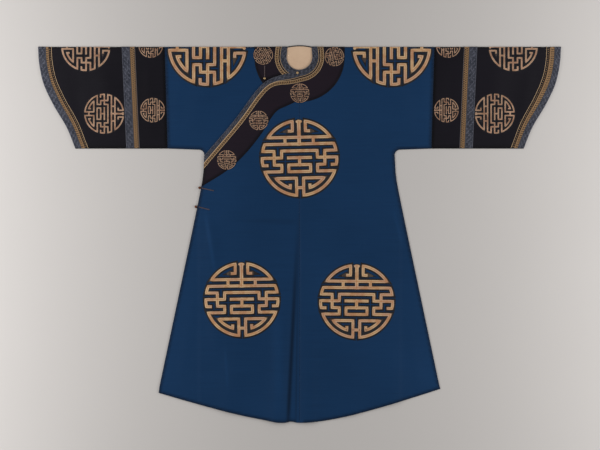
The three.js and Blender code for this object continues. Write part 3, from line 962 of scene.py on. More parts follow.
def lining_paint(name, deep, pale):
    paint = Paint(name)
    flat, across, along = paint.cut()
    slow = paint.noise(flat, 14, 3.0, (1.0, 1.6, 1.0))
    fine = paint.noise(flat, 400, 2.0)
    paint.set(base_color=paint.mix(slow * 0.8 + fine * 0.2, deep, pale), roughness=fine * 0.1 + 0.7)
    paint.set(sheen_weight=0.15)
    paint.bump(slow + woven(across, along, 0.0008) * 0.1, 0.0004, 0.5)
    return paint.material


# Finishes: how each is painted, its material's name, its colours, and what else the painter takes
GOLD_TONES = ("gold_core", "gold_pale", "gold_rose", "outline")
COPPER_TONES = ("copper_core", "copper_pale", "gold_rose", "outline")
BRASS_LOOK = {"rough": 0.3, "metallic": 0.95, "grain": 500, "amount": 0.35}
COPPER_LOOK = {"rough": 0.4, "metallic": 0.8, "grain": 500, "amount": 0.4}
FLOOR_LOOK = {"rough": 0.9, "grain": 3, "amount": 0.03, "bump": 0.0}
FINISHES = {
    "silk": (silk_paint, "robe silk", ("silk_deep", "silk_pale"), {"rough": 0.5, "shade_folds": True}),
    "satin": (silk_paint, "robe satin", ("satin_deep", "satin_pale"), {"rough": 0.42}),
    "facing": (silk_paint, "robe facing satin", ("satin_pale", "facing_pale"), {"rough": 0.45}),
    "lining": (lining_paint, "robe lining", ("lining_deep", "lining_pale"), {}),
    "ribbon": (ribbon_paint, "robe ribbon", ("ribbon_deep", "ribbon_pale"), {}),
    "braid": (braid_paint, "robe braid", ("braid_deep", "braid_pale"), {}),
    "gold": (gold_paint, "robe gold on silk", GOLD_TONES, {}),
    "copper gold": (gold_paint, "robe gold on satin", COPPER_TONES, {}),
    "outline": (plain_paint, "robe dark outline", ("outline",), {"rough": 0.7}),
    "piping": (plain_paint, "robe gold piping", ("gold_pale",), {"rough": 0.45, "metallic": 0.3}),
    "knot": (plain_paint, "robe braid knots", ("braid_pale",), {"rough": 0.5, "metallic": 0.3}),
    "selvedge": (plain_paint, "robe pale selvedge", ("ribbon_pale",), {"rough": 0.6}),
    "dot": (plain_paint, "robe dark dots", ("outline",), {"rough": 0.6}),
    "binding": (plain_paint, "robe binding", ("satin_deep",), {"rough": 0.6}),
    "brass": (plain_paint, "robe gilt brass", ("brass",), BRASS_LOOK),
    "copper": (plain_paint, "robe dark copper", ("copper",), COPPER_LOOK),
    "cord": (plain_paint, "robe loop cord", ("cord",), {"rough": 0.6}),
    "stitch": (plain_paint, "robe stitches", ("ribbon_deep",), {"rough": 0.6}),
    "floor": (plain_paint, "stage floor", ("floor",), FLOOR_LOOK),
}
PAINTS = {}


def finish_of(name):
    """The named finish, made when it is first asked for."""
    if name not in PAINTS:
        painter, label, tones, look = FINISHES[name]
        colours = [getattr(bpy.context.scene.robe_colours, tone) for tone in tones]
        PAINTS[name] = painter(label, *colours, **look)
    return PAINTS[name]


# Geometry Nodes: cords and rows of knots that follow a line


class Tree:
    """Builds one tree, with a geometry going in and out and the named inputs."""

    def __init__(self, name, **inputs):
        self.tree = bpy.data.node_groups.new(name, "GeometryNodeTree")
        sockets = {"Geometry": "Geometry", **inputs, "Material": "Material"}
        for label, kind in sockets.items():
            self.tree.interface.new_socket(label, in_out="INPUT", socket_type="NodeSocket" + kind)
        self.tree.interface.new_socket("Geometry", in_out="OUTPUT", socket_type="NodeSocketGeometry")
        self.given = self.tree.nodes.new("NodeGroupInput").outputs

    def add(self, kind, links, **values):
        """A node with some inputs linked and others set. Returns its first output."""
        node = self.tree.nodes.new(kind)
        for name, value in values.items():
            setattr(node, name, value)
        for name, value in links.items():
            if isinstance(value, bpy.types.NodeSocket):
                self.tree.links.new(value, node.inputs[name])
            else:
                node.inputs[name].default_value = value
        return node.outputs[0] if node.outputs else None

    def end(self, geometry):
        """Ends the tree in real geometry, smooth shading and the material."""
        real = self.add("GeometryNodeRealizeInstances", {0: geometry})
        shade = self.add("GeometryNodeSetShadeSmooth", {0: real})
        painted = self.add("GeometryNodeSetMaterial", {0: shade, "Material": self.given["Material"]})
        self.add("NodeGroupOutput", {0: painted})
        return self.tree


def cord_tree():
    """A round cord along a line."""
    tree = Tree("round_cord", Radius="Float")
    section = {"Radius": tree.given["Radius"], "Resolution": 8}
    circle = tree.add("GeometryNodeCurvePrimitiveCircle", section)
    body = {"Curve": tree.given["Geometry"], "Profile Curve": circle, "Fill Caps": True}
    return tree.end(tree.add("GeometryNodeCurveToMesh", body))


def knot_tree():
    """A knot, bead or stitch at each point of a line, turned with it."""
    tree = Tree("knots_on_a_line", Size="Vector")
    knot = tree.add("GeometryNodeMeshUVSphere", {"Segments": 8, "Rings": 5, "Radius": 0.5})
    tangent = tree.add("GeometryNodeInputTangent", {})
    turn = tree.add("FunctionNodeAlignRotationToVector", {"Vector": tangent}, axis="X", pivot_axis="Z")
    points = {"Points": tree.given["Geometry"], "Instance": knot, "Rotation": turn}
    return tree.end(tree.add("GeometryNodeInstanceOnPoints", {**points, "Scale": tree.given["Size"]}))


TREES = {}


def follow(name, lines, tree_name, **inputs):
    """A mesh made by a tree along some lines, given as places in metres."""
    builders = {"cord": cord_tree, "knots": knot_tree}
    if tree_name not in TREES:
        TREES[tree_name] = builders[tree_name]()
    tree = TREES[tree_name]
    curve = bpy.data.curves.new(name + "_line", "CURVE")
    curve.dimensions = "3D"
    for line in lines:
        spline = curve.splines.new("POLY")
        spline.points.add(len(line) - 1)
        spline.points.foreach_set("co", np.column_stack([line, np.ones(len(line))]).ravel())
    guide = bpy.data.objects.new(name + "_line", curve)
    bpy.context.scene.collection.objects.link(guide)
    modifier = guide.modifiers.new(name, "NODES")
    modifier.node_group = tree
    for item in tree.interface.items_tree:
        if item.in_out == "INPUT" and item.name in inputs:
            modifier[item.identifier] = inputs[item.name]
    bpy.context.view_layer.update()
    graph = bpy.context.evaluated_depsgraph_get()
    mesh = bpy.data.meshes.new_from_object(guide.evaluated_get(graph))
    mesh.name = name
    obj = bpy.data.objects.new(name, mesh)
    bpy.context.scene.collection.objects.link(obj)
    bpy.data.objects.remove(guide)
    return obj


# Outlines of the cloth


def half_outline(side, middle, short):
    """One half of the robe unfolded: front, shoulder and back. short raises the front's hem."""
    xs = np.array([middle, 12, 24, 34, 42, NECK_HALF])
    neck_back = np.column_stack([xs, on_back(neck_edge(xs))])
    neck_front = NECK_ARC.copy()
    neck_front[:, 0] = np.maximum(neck_front[:, 0], middle)
    side_line = closed_side(side)
    hem_x = np.linspace(middle, HEM_HALF, 60)
    front_hem = np.column_stack([hem_x, hem_at(hem_x, side) + short])
    back_x = np.linspace(HEM_HALF, middle, 60)
    back_hem = np.column_stack([back_x, on_back(hem_at(back_x, side))])
    front_side = side_line[::-1]
    if short:
        corner_y = front_hem[-1, 1]
        front_hem[-1, 0] = side_at(corner_y)
        front_hem = front_hem[front_hem[:, 0] <= side_at(corner_y) + 0.01]
        front_side = front_side[front_side[:, 1] > corner_y + 4]
    else:
        front_side = front_side[1:]
    back_side = side_line[:-1].copy()
    back_side[:, 1] = on_back(back_side[:, 1])
    sleeve = sleeve_line(BODY_END)
    parts = [neck_back, neck_front, front_hem, front_side, sleeve[1:-1], back_side, back_hem]
    return mirror(closed(parts, CLOTH_STEP), side)


def tube_outline(side, inner, outer):
    """A length of sleeve unfolded, between two lines round it."""
    return mirror(closed([inner, outer[::-1]], CLOTH_STEP), side)


def overlap_outline():
    side = closed_side(-1)
    side = mirror(side[side[:, 1] < OVERLAP_EDGE[-1][1] - 1], -1)
    edge = OVERLAP_LINE.copy()
    edge[:, 0] = np.minimum(edge[:, 0], -MEETS)
    hem_x = np.linspace(HEM_HALF, MEETS, 60)[1:]
    hem = np.column_stack([-hem_x, hem_at(hem_x, -1)])
    return closed([edge, side, hem], CLOTH_STEP)


def free_edge():
    """The robe's free front edge: wearer's left of the neck, under it, and down the overlap."""
    line = respace(np.vstack([NECK_LINE, OVERLAP_LINE[1:]]), 140)
    for _ in range(6):
        line[1:-1] = (line[:-2] + 2 * line[1:-1] + line[2:]) / 4
    rows = np.arange(TUCK, -8, -1.0)
    start = np.column_stack([np.interp(-rows, -line[:, 1], line[:, 0]), rows])
    return np.vstack([start, line[line[:, 1] < -8]])


def side_cutter():
    """The closed side at the wearer's right, where the trims of the overlap end."""
    drops = np.linspace(392, 560, 30)
    line = np.column_stack([-side_at(-drops) + 0.4, -drops])
    corner = arc((-CHEST_HALF - ARMPIT, -UNDERARM - ARMPIT_DROP - ARMPIT), ARMPIT, 0, 80, 6)[::-1]
    return np.vstack([corner, line[1:]])


def left_facing_outline():
    outer = curve_through(FACING_EDGE, 60)
    round_neck = arc(NECK_CENTRE, FACING_RADIUS, 0, -95, 40)
    outer = np.vstack([[(FACING_RADIUS, TUCK)], round_neck, outer])
    free = np.vstack([NECK_LINE, OVERLAP_LINE[1:]])
    ends = np.linspace(-OVERLAP_EDGE[-1][1], -FACING_EDGE[-1][1], 14)[1:-1]
    side = np.column_stack([-side_at(-ends), -ends])
    return closed([free, side, outer[::-1]], FACING_STEP)


def right_facing_outline():
    neck = mirror(NECK_LINE, -1)[:-1]
    edge = beside(OVERLAP_LINE, -SEAM)
    edge = edge[np.hypot(edge[:, 0], edge[:, 1] + NECK_STRAIGHT) < FACING_RADIUS]
    edge = edge[3:]
    start = math.degrees(math.atan2(edge[-1][1] + NECK_STRAIGHT, edge[-1][0]))
    outer = arc(NECK_CENTRE, FACING_RADIUS, start, -180, 24)
    return closed([neck, edge, outer, [(-FACING_RADIUS, TUCK)]], FACING_STEP)


# The roundel's strokes, charted on a circle of radius 1, top up. Each row is half of a
# stroke pair, and is mirrored. RIM is the middle of the outer strokes.
RIM = 0.953
INNER_RIM = 0.8
STROKE = 0.047
PAST = -0.02


def rim_arc(start, end, radius=RIM):
    return [tuple(p) for p in arc((0, 0), radius, start, end, max(3, int(abs(end - start) / 4)))]


def roundel_strokes():
    """Lines of the half that lies at x above 0, as (points, half width)."""
    top = [(0.29, 0.69), (0.165, 0.69), (0.165, 0.935), *rim_arc(80, 33.8), (PAST, 0.53)]
    right = [(PAST, 0.36), *rim_arc(22.2, 11.1), (0.645, 0.184), (0.645, -0.17), (0.455, -0.17)]
    right += [(0.455, -0.34), *rim_arc(-20.9, -84.6), (0.09, -0.51), *rim_arc(-39.6, -71.8, INNER_RIM)]
    right += [(0.25, -0.65)]
    inner = [(PAST, 0.187), (0.455, 0.187), (0.455, 0.01), *rim_arc(0.6, -10.8), (0.79, -0.178)]
    centre = [(PAST, -0.17), (0.278, -0.17), (0.278, -0.345), (PAST, -0.345)]
    lines = [top, right, inner, centre, [(PAST, 0.01), (0.322, 0.01)], [(0.36, 0.53), (0.36, 0.36)]]
    lines.append([(PAST, -0.755), (0.09, -0.755)])
    return [(np.array(line), STROKE) for line in lines]


MIDDLE_STROKES = [
    (np.array([(0, 0.94), (0, 0.34)]), 0.055),
    (np.array([(0, 0.02), (0, -0.18)]), STROKE),
]
SPIKE = np.array([(0.27, 0.643), (0.275, 0.765), (0.48, 0.66)])
KNOB_TURNS = np.linspace(0, TWO_PI, 17)[:-1]
KNOB = np.array([(0.085 * math.cos(t), 0.93 + 0.05 * math.sin(t)) for t in KNOB_TURNS])

# The upright strokes of a roundel on the shoulder turn over it, so they have two more rows of points
RIDGE_ROWS = (0.28, 0.16)


def band(line, half):
    """The outline of a stroke with mitred corners and square ends."""
    runs = np.diff(line, axis=0)
    runs /= np.hypot(*runs.T)[:, None]
    left = np.column_stack([-runs[:, 1], runs[:, 0]])
    before = np.vstack([left[:1], left])
    after = np.vstack([left, left[-1:]])
    mitre = before + after
    mitre /= np.maximum((mitre * before).sum(1), 0.35)[:, None]
    return np.vstack([line + mitre * half, (line - mitre * half)[::-1]])


def chart(step, rows, slim, folded, grow=0.0):
    """The roundel as flat triangles. Returns points, triangles and each point's share across a stroke.

    Points are added on the middle line, where a roundel of the folded radius turns over the shoulder."""
    turns = (FOLD_ROWS - FOLD_MIDDLE) / folded
    strokes = list(MIDDLE_STROKES)
    for line, half in roundel_strokes():
        strokes += [(line, half), (line * np.array([-1, 1]), half)]
    strokes = [(longer(line, grow, grow), half * slim) for line, half in strokes]
    points, loops = [], []
    for line, half in strokes:
        upright = np.ptp(line[:, 0]) == 0
        for share in rows + (RIDGE_ROWS if upright and len(rows) > 1 else ()):
            start, end = (-half * (1 - share) * (abs(p[0]) > 0.05) for p in (line[0], line[-1]))
            fine = split_at(resample(longer(line, start, end), step), turns, 0)
            outline = band(fine, half * share + (grow if share == rows[0] else 0))
            loops.append(list(range(len(points), len(points) + len(outline))))
            points.extend(outline)
    for shape in (SPIKE, SPIKE * np.array([-1, 1]), KNOB):
        centre = shape.mean(0)
        grown = centre + (shape - centre) * (1 + grow * 9)
        loops.append(list(range(len(points), len(points) + len(grown))))
        points.extend(grown)
    flat, tris = triangulate(np.array(points), loops, [(line, half + grow) for line, half in strokes])
    across = np.full(len(flat), 1.0)
    strokes.append((np.array([(-0.04, 0.93), (0.04, 0.93)]), 0.05))
    for line, half in strokes:
        across = np.minimum(across, nearest(flat, line[:-1], line[1:]) / half)
    return flat, tris, across


# Roundels: x, y, radius, which way the top points, what they lie on, and front or back
SINGLE_ROUNDELS = [
    (0, -411, 145, 1.3, "outer", "front"),
    (-213, -934, 140, 0.8, "outer", "front"),
    (211, -941, 140, -0.6, "outer", "front"),
    (-134, -30, 36, -60, "inner facing", "front"),
    (129, -36, 36, 80, "facing", "front"),
    (1, -171, 36, 0, "facing", "front"),
    (-151, -272, 36, 0, "facing", "front"),
    (-269, -418, 36, 0, "facing", "front"),
    (0, -411, 145, 0, "inner", "back"),
]

# Roundels that the wearer's right has too, mirrored
PAIRED_ROUNDELS = [
    (341, 0, 147, 90, "inner", "fold"),
    (790, 0, 92, 90, "inner", "fold"),
    (550, 4, 46, 90, "inner", "fold"),
    (722, -247, 75, 90, "inner", "front"),
    (543, -234, 46, 90, "inner", "front"),
    (213, -934, 140, 0, "inner", "back"),
    (722, -247, 75, -90, "inner", "back"),
    (543, -234, 46, -90, "inner", "back"),
]
ROUNDELS = SINGLE_ROUNDELS + [
    (side * x, y, radius, side * turn, on, where)
    for x, y, radius, turn, on, where in PAIRED_ROUNDELS
    for side in (-1, 1)
]


def closed_faces(tris, count):
    """Faces of a closed sheet: its top, its underside and the walls at its open edges."""
    a, b = open_edges(tris)
    walls = [np.column_stack([a, a + count, b + count]), np.column_stack([a, b + count, b])]
    return np.vstack([tris, tris[:, ::-1] + count, *walls])


def lay_roundels(name, pick, base, material, relief_of, sunk, edge):
    """All the picked roundels as one closed mesh. relief_of turns the share across into a height, and
    edge is how high the outer edge stands over the cloth."""
    flat, tris, across = base
    rim = edge_points(tris, len(flat))
    faces = closed_faces(tris, len(flat))
    all_verts, all_faces = [], []
    for x, y, radius, turn, on, where in pick:
        angle = math.radians(turn)
        spin = np.array([(math.cos(angle), math.sin(angle)), (-math.sin(angle), math.cos(angle))])
        centre_v = {"front": y, "fold": FOLD_MIDDLE + y, "back": on_back(y)}[where]
        flip = (1, -1) if where == "back" else (1, 1)
        cut = flat @ spin * flip * radius + (x, centre_v)
        base_lift = FACING_TOP if "facing" in on else 0.0
        outer = on in ("outer", "facing")
        height = relief_of(across) * min(1.0, 0.55 + radius / 250)
        top = drape(cut, base_lift + np.where(rim, edge, height), outer)
        bottom = drape(cut, base_lift + sunk, outer)
        all_faces.append((faces[:, ::-1] if where == "back" else faces) + len(all_faces) * 2 * len(flat))
        all_verts.append(np.vstack([top, bottom]))
    values = {"across": np.tile(across, 2 * len(pick))}
    return make_mesh(name, np.vstack(all_verts), np.vstack(all_faces), material, values=values)


# Settings


def length(label, text, value):
    return bpy.props.FloatProperty(name=label, description=text, default=value, unit="LENGTH", precision=5)


def colour(label, text, value):
    return bpy.props.FloatVectorProperty(
        name=label, description=text, default=value, subtype="COLOR", size=3, min=0, max=1
    )


class RobeSizes(bpy.types.PropertyGroup):
    """Sizes that a user may change."""

    cloth: length("Cloth", "Thickness of the silk with its lining", 0.0012)
    spacing: length("Mesh spacing", "Distance between the points of a cloth mesh", 0.0085)
    creases: bpy.props.FloatProperty(name="Creases", description="Depth of the fine creases", default=1.0)
    gold: length("Gold relief", "Height of the gold strokes over the silk", 0.0006)
    knot_pitch: length("Knot pitch", "Distance between the knots of a braid", 0.0084)
    stitch_pitch: length("Stitch pitch", "Distance between edge stitches", 0.008)
    piping: length("Piping", "Radius of the gold piping", 0.0008)
    ball: length(
        "Ball button",
        "Radius of a ball button",
        (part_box("neck_button")[1].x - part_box("neck_button")[0].x) / 2,
    )
    view_width: length("View width", "Width of floor that the camera sees", 2.22)
    lens: bpy.props.FloatProperty(name="Lens", description="Camera lens", default=100, unit="CAMERA")


class RobeColours(bpy.types.PropertyGroup):
    """Colours that a user may change."""

    silk_deep: colour("Silk, deep", "Darker shade of the blue silk", srgb(10, 45, 79))
    silk_pale: colour("Silk, pale", "Paler shade of the blue silk", srgb(23, 61, 102))
    satin_deep: colour("Satin, deep", "Darker shade of the black satin", srgb(11, 10, 16))
    satin_pale: colour("Satin, pale", "Paler shade of the black satin", srgb(25, 22, 31))
    facing_pale: colour("Facing, pale", "Paler, faded shade of the neck's satin facing", srgb(38, 27, 37))
    lining_deep: colour("Lining, deep", "Darker shade of the lining", srgb(210, 176, 146))
    lining_pale: colour("Lining, pale", "Paler shade of the lining", srgb(238, 206, 174))
    ribbon_deep: colour("Ribbon, deep", "Ground of the brocade ribbon", srgb(30, 34, 44))
    ribbon_pale: colour("Ribbon, pale", "Pattern of the brocade ribbon", srgb(100, 102, 115))
    braid_deep: colour("Braid, deep", "Darker thread of the gold braid", srgb(44, 29, 21))
    braid_pale: colour("Braid, pale", "Paler thread of the gold braid", srgb(184, 144, 99))
    gold_core: colour("Gold, core", "Core line of a gold stroke on the silk", srgb(182, 118, 64))
    gold_pale: colour("Gold, pale", "Gold thread of a stroke on the silk", srgb(222, 189, 147))
    gold_rose: colour("Gold, rose", "Gold thread where it has turned rosy", srgb(207, 169, 140))
    copper_core: colour("Copper gold, core", "Core line of a stroke on the satin", srgb(128, 78, 52))
    copper_pale: colour("Copper gold, pale", "Gold thread of a stroke on the satin", srgb(186, 154, 126))
    outline: colour("Outline", "Dark line round a gold stroke", srgb(20, 18, 24))
    brass: colour("Brass", "Gilt brass of the neck buttons", srgb(222, 190, 140))
    copper: colour("Copper", "Darkened copper of the side buttons", srgb(120, 70, 46))
    cord: colour("Cord", "Corded loops", srgb(98, 82, 84))
    floor: colour("Floor", "Pale floor", srgb(209, 205, 202))


def dress(obj, slot, *nodes):
    """Fixes a finished piece to the robe, and hides the parts of the imported model that it stands for."""
    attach(obj, BODY)
    if nodes:
        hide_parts(*nodes)


def lay_cloth(name, outline, finish, node, outer=False, sewn=True):
    """One cut piece of the silk or the satin, laid on the robe."""
    sizes = bpy.context.scene.robe_sizes
    low, spacing = -sizes.cloth / MM, sizes.spacing / MM
    obj, area = shell(name, outline, finish_of(finish), low, 0, spacing, outer, sizes.creases, sewn)
    dress(obj, finish, node)


class RobeOperator:
    """What every operator of the robe shares."""

    bl_options = {"REGISTER", "UNDO"}


class ROBE_OT_silk(RobeOperator, bpy.types.Operator):
    """Make the blue silk: the two halves of the body and the overlap"""

    bl_idname = "robe.silk"
    bl_label = "Blue silk"

    def execute(self, context):
        left, right = half_outline(1, MEETS, 0), half_outline(-1, INNER_MIDDLE, INNER_SHORT)
        lay_cloth("silk_left_body", left, "silk", "left_body", outer=True)
        lay_cloth("silk_right_body", right, "silk", "right_body")
        lay_cloth("silk_overlap", overlap_outline(), "silk", "right_overlap", outer=True, sewn=False)
        return {"FINISHED"}


class ROBE_OT_sleeves(RobeOperator, bpy.types.Operator):
    """Make the dark sleeve bands and cuffs, as flattened tubes"""

    bl_idname = "robe.sleeves"
    bl_label = "Sleeve bands and cuffs"

    def execute(self, context):
        tubes = {
            "sleeve": (sleeve_line(BODY_END, SEAM), sleeve_line(CUFF_START)),
            "cuff": (sleeve_line(CUFF_START, SEAM), mouth_line()),
        }
        for word, side in (("left", 1), ("right", -1)):
            for part, ends in tubes.items():
                outline = tube_outline(side, *ends)
                lay_cloth(f"satin_{word}_{part}", outline, "satin", f"{word}_{part}")
        return {"FINISHED"}


class ROBE_OT_facings(RobeOperator, bpy.types.Operator):
    """Make the satin facings round the neck and down the overlap, and the lining in the neck"""

    bl_idname = "robe.facings"
    bl_label = "Facings and lining"

    def execute(self, context):
        left, right = left_facing_outline(), right_facing_outline()
        rows = [
            ("satin_overlap_facing", left, True, "overlap_facing", (0.115, 0.78), "silk_overlap"),
            ("satin_neck_facing", right, False, "neck_facing", (0.12, 0.16), "silk_right_body"),
        ]
        for name, outline, outer, node, flat, under in rows:
            obj, area = shell(name, outline, finish_of("facing"), -SINK, FACING_TOP, 6, outer)
            dress(obj, "satin", node)
        self.lining()
        return {"FINISHED"}

    def lining(self):
        """The lining of the back, which shows through the neck."""
        tuck, top_gap = 26, 3.0
        low, high = 1.95, 2.75
        around = beside(np.vstack([[(NECK_HALF, -6)], NECK_ARC]), tuck)
        xs = np.array([-46, -32, -16, 0, 16, 32, 46])
        top = np.column_stack([xs, neck_edge(xs) - top_gap])
        flat, tris, rim = cut_piece(closed([top, around, mirror(around, -1)[::-1]], 4), 4)
        x, y = flat.T
        wave = np.sin(x / 9 + y / 14) * 0.12 + np.sin(y / 6) * 0.08
        heights = [np.where(rim, (low + high) / 2, level + wave) for level in (high, low)]
        walls = [np.column_stack([x, y + SHOULDER_Y, z]) * MM for z in heights]
        obj = two_walls("silk_neck_lining", *walls, (flat, tris, rim), finish_of("lining"))
        dress(obj, "lining", "neck_lining")


class Edge:
    """One edge of the cloth with the trims sewn along it.

    path is its line on the cut, ends are the lines that the trims stop at, and low and top are how
    far a trim reaches out of the cloth. rows takes the knots and cords of every edge."""

    def __init__(self, rows, path, ends, outer, steps, low, top):
        self.rows = rows
        self.path = path
        self.ends = ends
        self.outer = outer
        self.steps = steps
        self.low = low
        self.top = top

    def band(self, kind, word, near, far):
        """A ribbon or braid, between two distances from the edge."""
        obj, flat = trim(f"{kind}_{word}", self, near, far, finish_of(kind), SECTIONS[kind])
        dress(obj, kind, f"{word}_{kind}")

    def sew(self, kind, distance, lift, moved=0.0):
        """A cord, or a row of knots, at a distance from the edge. moved is a share of a knot's step."""
        line = between(beside(self.path, distance), *self.ends)
        if kind in ("cords", "selvedges"):
            placed = lay_line(resample(line, 4), lift, self.outer)
        else:
            pitch = bpy.context.scene.robe_sizes.knot_pitch / MM
            placed = lay_steps(line, pitch, pitch * (0.4 + moved), lift, self.outer)
        self.rows[kind].append(placed)

    def sew_braid(self, start, out):
        """Piping along both sides of a braid, and knots with dots between them down its middle."""
        for across in BRAID_PIPING:
            self.sew("cords", start + out * across, self.top)
        for kind, moved in (("dots", 0.0), ("knots", 0.5)):
            self.sew(kind, start + out * BRAID_KNOTS, self.top - 0.2, moved)


class ROBE_OT_trims(RobeOperator, bpy.types.Operator):
    """Make the ribbons, braids, piping and rows of knots along every edge"""

    bl_idname = "robe.trims"
    bl_label = "Ribbons and braids"

    def execute(self, context):
        rows = {kind: [] for kind in ("knots", "dots", "spots", "cords", "selvedges")}
        self.overlap(rows)
        self.neck(rows)
        for word, side in (("left", 1), ("right", -1)):
            self.sleeve(rows, word, side)
            self.mouth(rows, word, side)
        radius = context.scene.robe_sizes.piping
        for name, kind, tree, finish, slot, size in (
            ("braid_knots", "knots", "knots", "knot", "braid", {"Size": (0.0038, 0.0032, 0.0019)}),
            ("dark_dots", "dots", "knots", "dot", "satin", {"Size": (0.0044, 0.0042, 0.0019)}),
            ("dark_spots", "spots", "knots", "dot", "satin", {"Size": (0.005, 0.0052, 0.0028)}),
            ("gold_piping", "cords", "cord", "piping", "braid", {"Radius": radius}),
            ("pale_selvedges", "selvedges", "cord", "selvedge", "ribbon", {"Radius": radius * 0.7}),
        ):
            dress(follow(name, rows[kind], tree, Material=finish_of(finish), **size), slot)
        return {"FINISHED"}

    def overlap(self, rows):
        """The robe's free edge, from the wearer's left of the neck to the underarm."""
        line = free_edge()
        bend = smooth((runs_of(line) - NARROW_FROM) / NARROW_OVER)
        path = np.vstack([line, line[-1:] + (line[-1] - line[-11])])

        def narrows(wide, slim):
            return np.append(wide + (slim - wide) * bend, slim)

        ribbon = narrows(NECK_RIBBON, OVERLAP_RIBBON)
        braid = narrows(NECK_BRAID, OVERLAP_BRAID)
        steps = shares_along(0.035, 150)
        edge = Edge(rows, path, (None, side_cutter()), True, steps, FACING_TOP - SINK, TRIM_TOP)
        edge.band("ribbon", "overlap", 0.0, ribbon)
        edge.band("braid", "overlap", braid, braid + BRAID_WIDTH)
        edge.sew("selvedges", 0.3, TRIM_TOP)
        edge.sew("cords", ribbon + 0.4 + (braid - ribbon) * 0.25, FACING_TOP + 0.7)
        edge.sew_braid(braid, 1)

    def neck(self, rows):
        """The wearer's right of the neck, down to the overlap."""
        path = resample(mirror(NECK_LINE, -1), 1.5)
        meet = beside(OVERLAP_LINE, -SEAM)
        ends = (None, np.vstack([meet[:1] + (40, 8), meet]))
        edge = Edge(rows, path, ends, False, shares_along(0.2, 40), FACING_TOP - SINK, TRIM_TOP)
        edge.band("ribbon", "neck", 0.0, -NECK_RIBBON)
        edge.band("braid", "neck", -NECK_BRAID, -NECK_BRAID - BRAID_WIDTH)
        edge.sew("cords", -24.2, FACING_TOP + 0.5)
        edge.sew_braid(-NECK_BRAID, -1)

    def round_sleeve(self, rows, path):
        """An edge that runs round a sleeve, from underarm to underarm."""
        front, back = -UNDERARM + 1.2, on_back(-UNDERARM) - 1.2
        ends = tuple(np.array([(-1200.0, v), (1200.0, v)]) for v in (front, back))
        down = np.arange(front, -8, 5)
        steps = np.concatenate([down, FOLD_ROWS, on_back(down)[::-1]])
        return Edge(rows, path, ends, False, steps, -SINK, TRIM_TOP - FACING_TOP)

    def sleeve(self, rows, word, side):
        """Braid and ribbon over the seam between band and cuff."""
        edge = self.round_sleeve(rows, mirror(resample(longer(sleeve_line(BRAID_START)), 5), side))
        out = -side
        width = BRAID_END[0] - BRAID_START[0]
        near, far = out * (width + 0.3), out * (RIBBON_END[0] - BRAID_START[0])
        edge.band("braid", f"{word}_sleeve", 0.0, out * width)
        edge.band("ribbon", f"{word}_sleeve", near, far)
        for kind, distance, depth, moved in SLEEVE_ROWS:
            edge.sew(kind, out * distance, edge.top - depth, moved)
        edge.sew("selvedges", far - out * 0.5, edge.top)

    def mouth(self, rows, word, side):
        """Ribbon and braid along the cuff's mouth. They are wider towards the shoulder."""
        edge = self.round_sleeve(rows, mirror(resample(longer(mouth_line()), 5), side))
        v, top = edge.path[:, 1], edge.top
        rise = smooth((UNDERARM + np.where(v > 0, on_back(v), v)) / 250)
        wide = side * (1 + (0.17 if side > 0 else 0.1) * rise)
        ribbon = side * (22 + (1 if side > 0 else 6) * rise)
        inner = wide * MOUTH_BRAID
        middle = (ribbon + inner) / 2
        edge.band("ribbon", f"{word}_cuff", side * 0.2, ribbon)
        edge.band("braid", f"{word}_cuff", ribbon + side * 0.5, inner)
        edge.sew("knots", ribbon + side * KNOTS_IN, top - 0.2)
        edge.sew("dots", middle, top - 0.5, 0.5)
        edge.sew("knots", middle, top - 0.2)
        edge.sew("knots", inner - side * KNOTS_IN, top - 0.3, 0.5)
        edge.sew("spots", wide * MOUTH_SPOTS, 0.3)
        edge.sew("knots", wide * MOUTH_SPOTS, 0.2, 0.5)
        edge.sew("cords", wide * MOUTH_PIPING, 0.5)


class ROBE_OT_roundels(RobeOperator, bpy.types.Operator):
    """Lay the gold roundels, with their dark outlines, on the silk and the satin"""

    bl_idname = "robe.roundels"
    bl_label = "Gold roundels"

    def execute(self, context):
        gold = context.scene.robe_sizes.gold / MM
        on_silk = [r for r in ROUNDELS if r[2] > 100]
        on_satin = [r for r in ROUNDELS if 60 < r[2] < 100]
        small = [r for r in ROUNDELS if r[2] < 60]
        groups = [
            ("silk", on_silk, 0.05, (1.0, 0.8, 0.4, 0.06), 0.92, 147, 0.034, "gold"),
            ("cuffs", on_satin, 0.06, (1.0, 0.8, 0.4, 0.06), 0.8, 92, 0.03, "copper gold"),
            ("small", small, 0.12, (1.0, 0.55, 0.08), 0.8, 46, 0.03, "copper gold"),
        ]
        for word, pick, step, rows, slim, folded, grow, finish in groups:
            base = chart(step, rows, slim, folded)
            strokes = (finish_of(finish), gold_height(gold), -0.1, 0.2)
            dress(lay_roundels(f"gold_roundels_{word}", pick, base, *strokes), "braid")
            base = chart(step, (1.0,), slim, folded, grow)
            outline = (finish_of("outline"), flat_height, -0.12, OUTLINE_TOP)
            dress(lay_roundels(f"dark_outlines_{word}", pick, base, *outline), "satin")
        return {"FINISHED"}


def flat_height(across):
    return np.full(len(across), OUTLINE_TOP)


def gold_height(gold):
    """Section of a stroke: two rows of thread with a groove between."""

    def height(across):
        crown = np.interp(across, [0, 0.1, 0.45, 0.8, 1], [0.75, 0.8, 1.1, 0.95, 0.5])
        return gold * crown

    return height


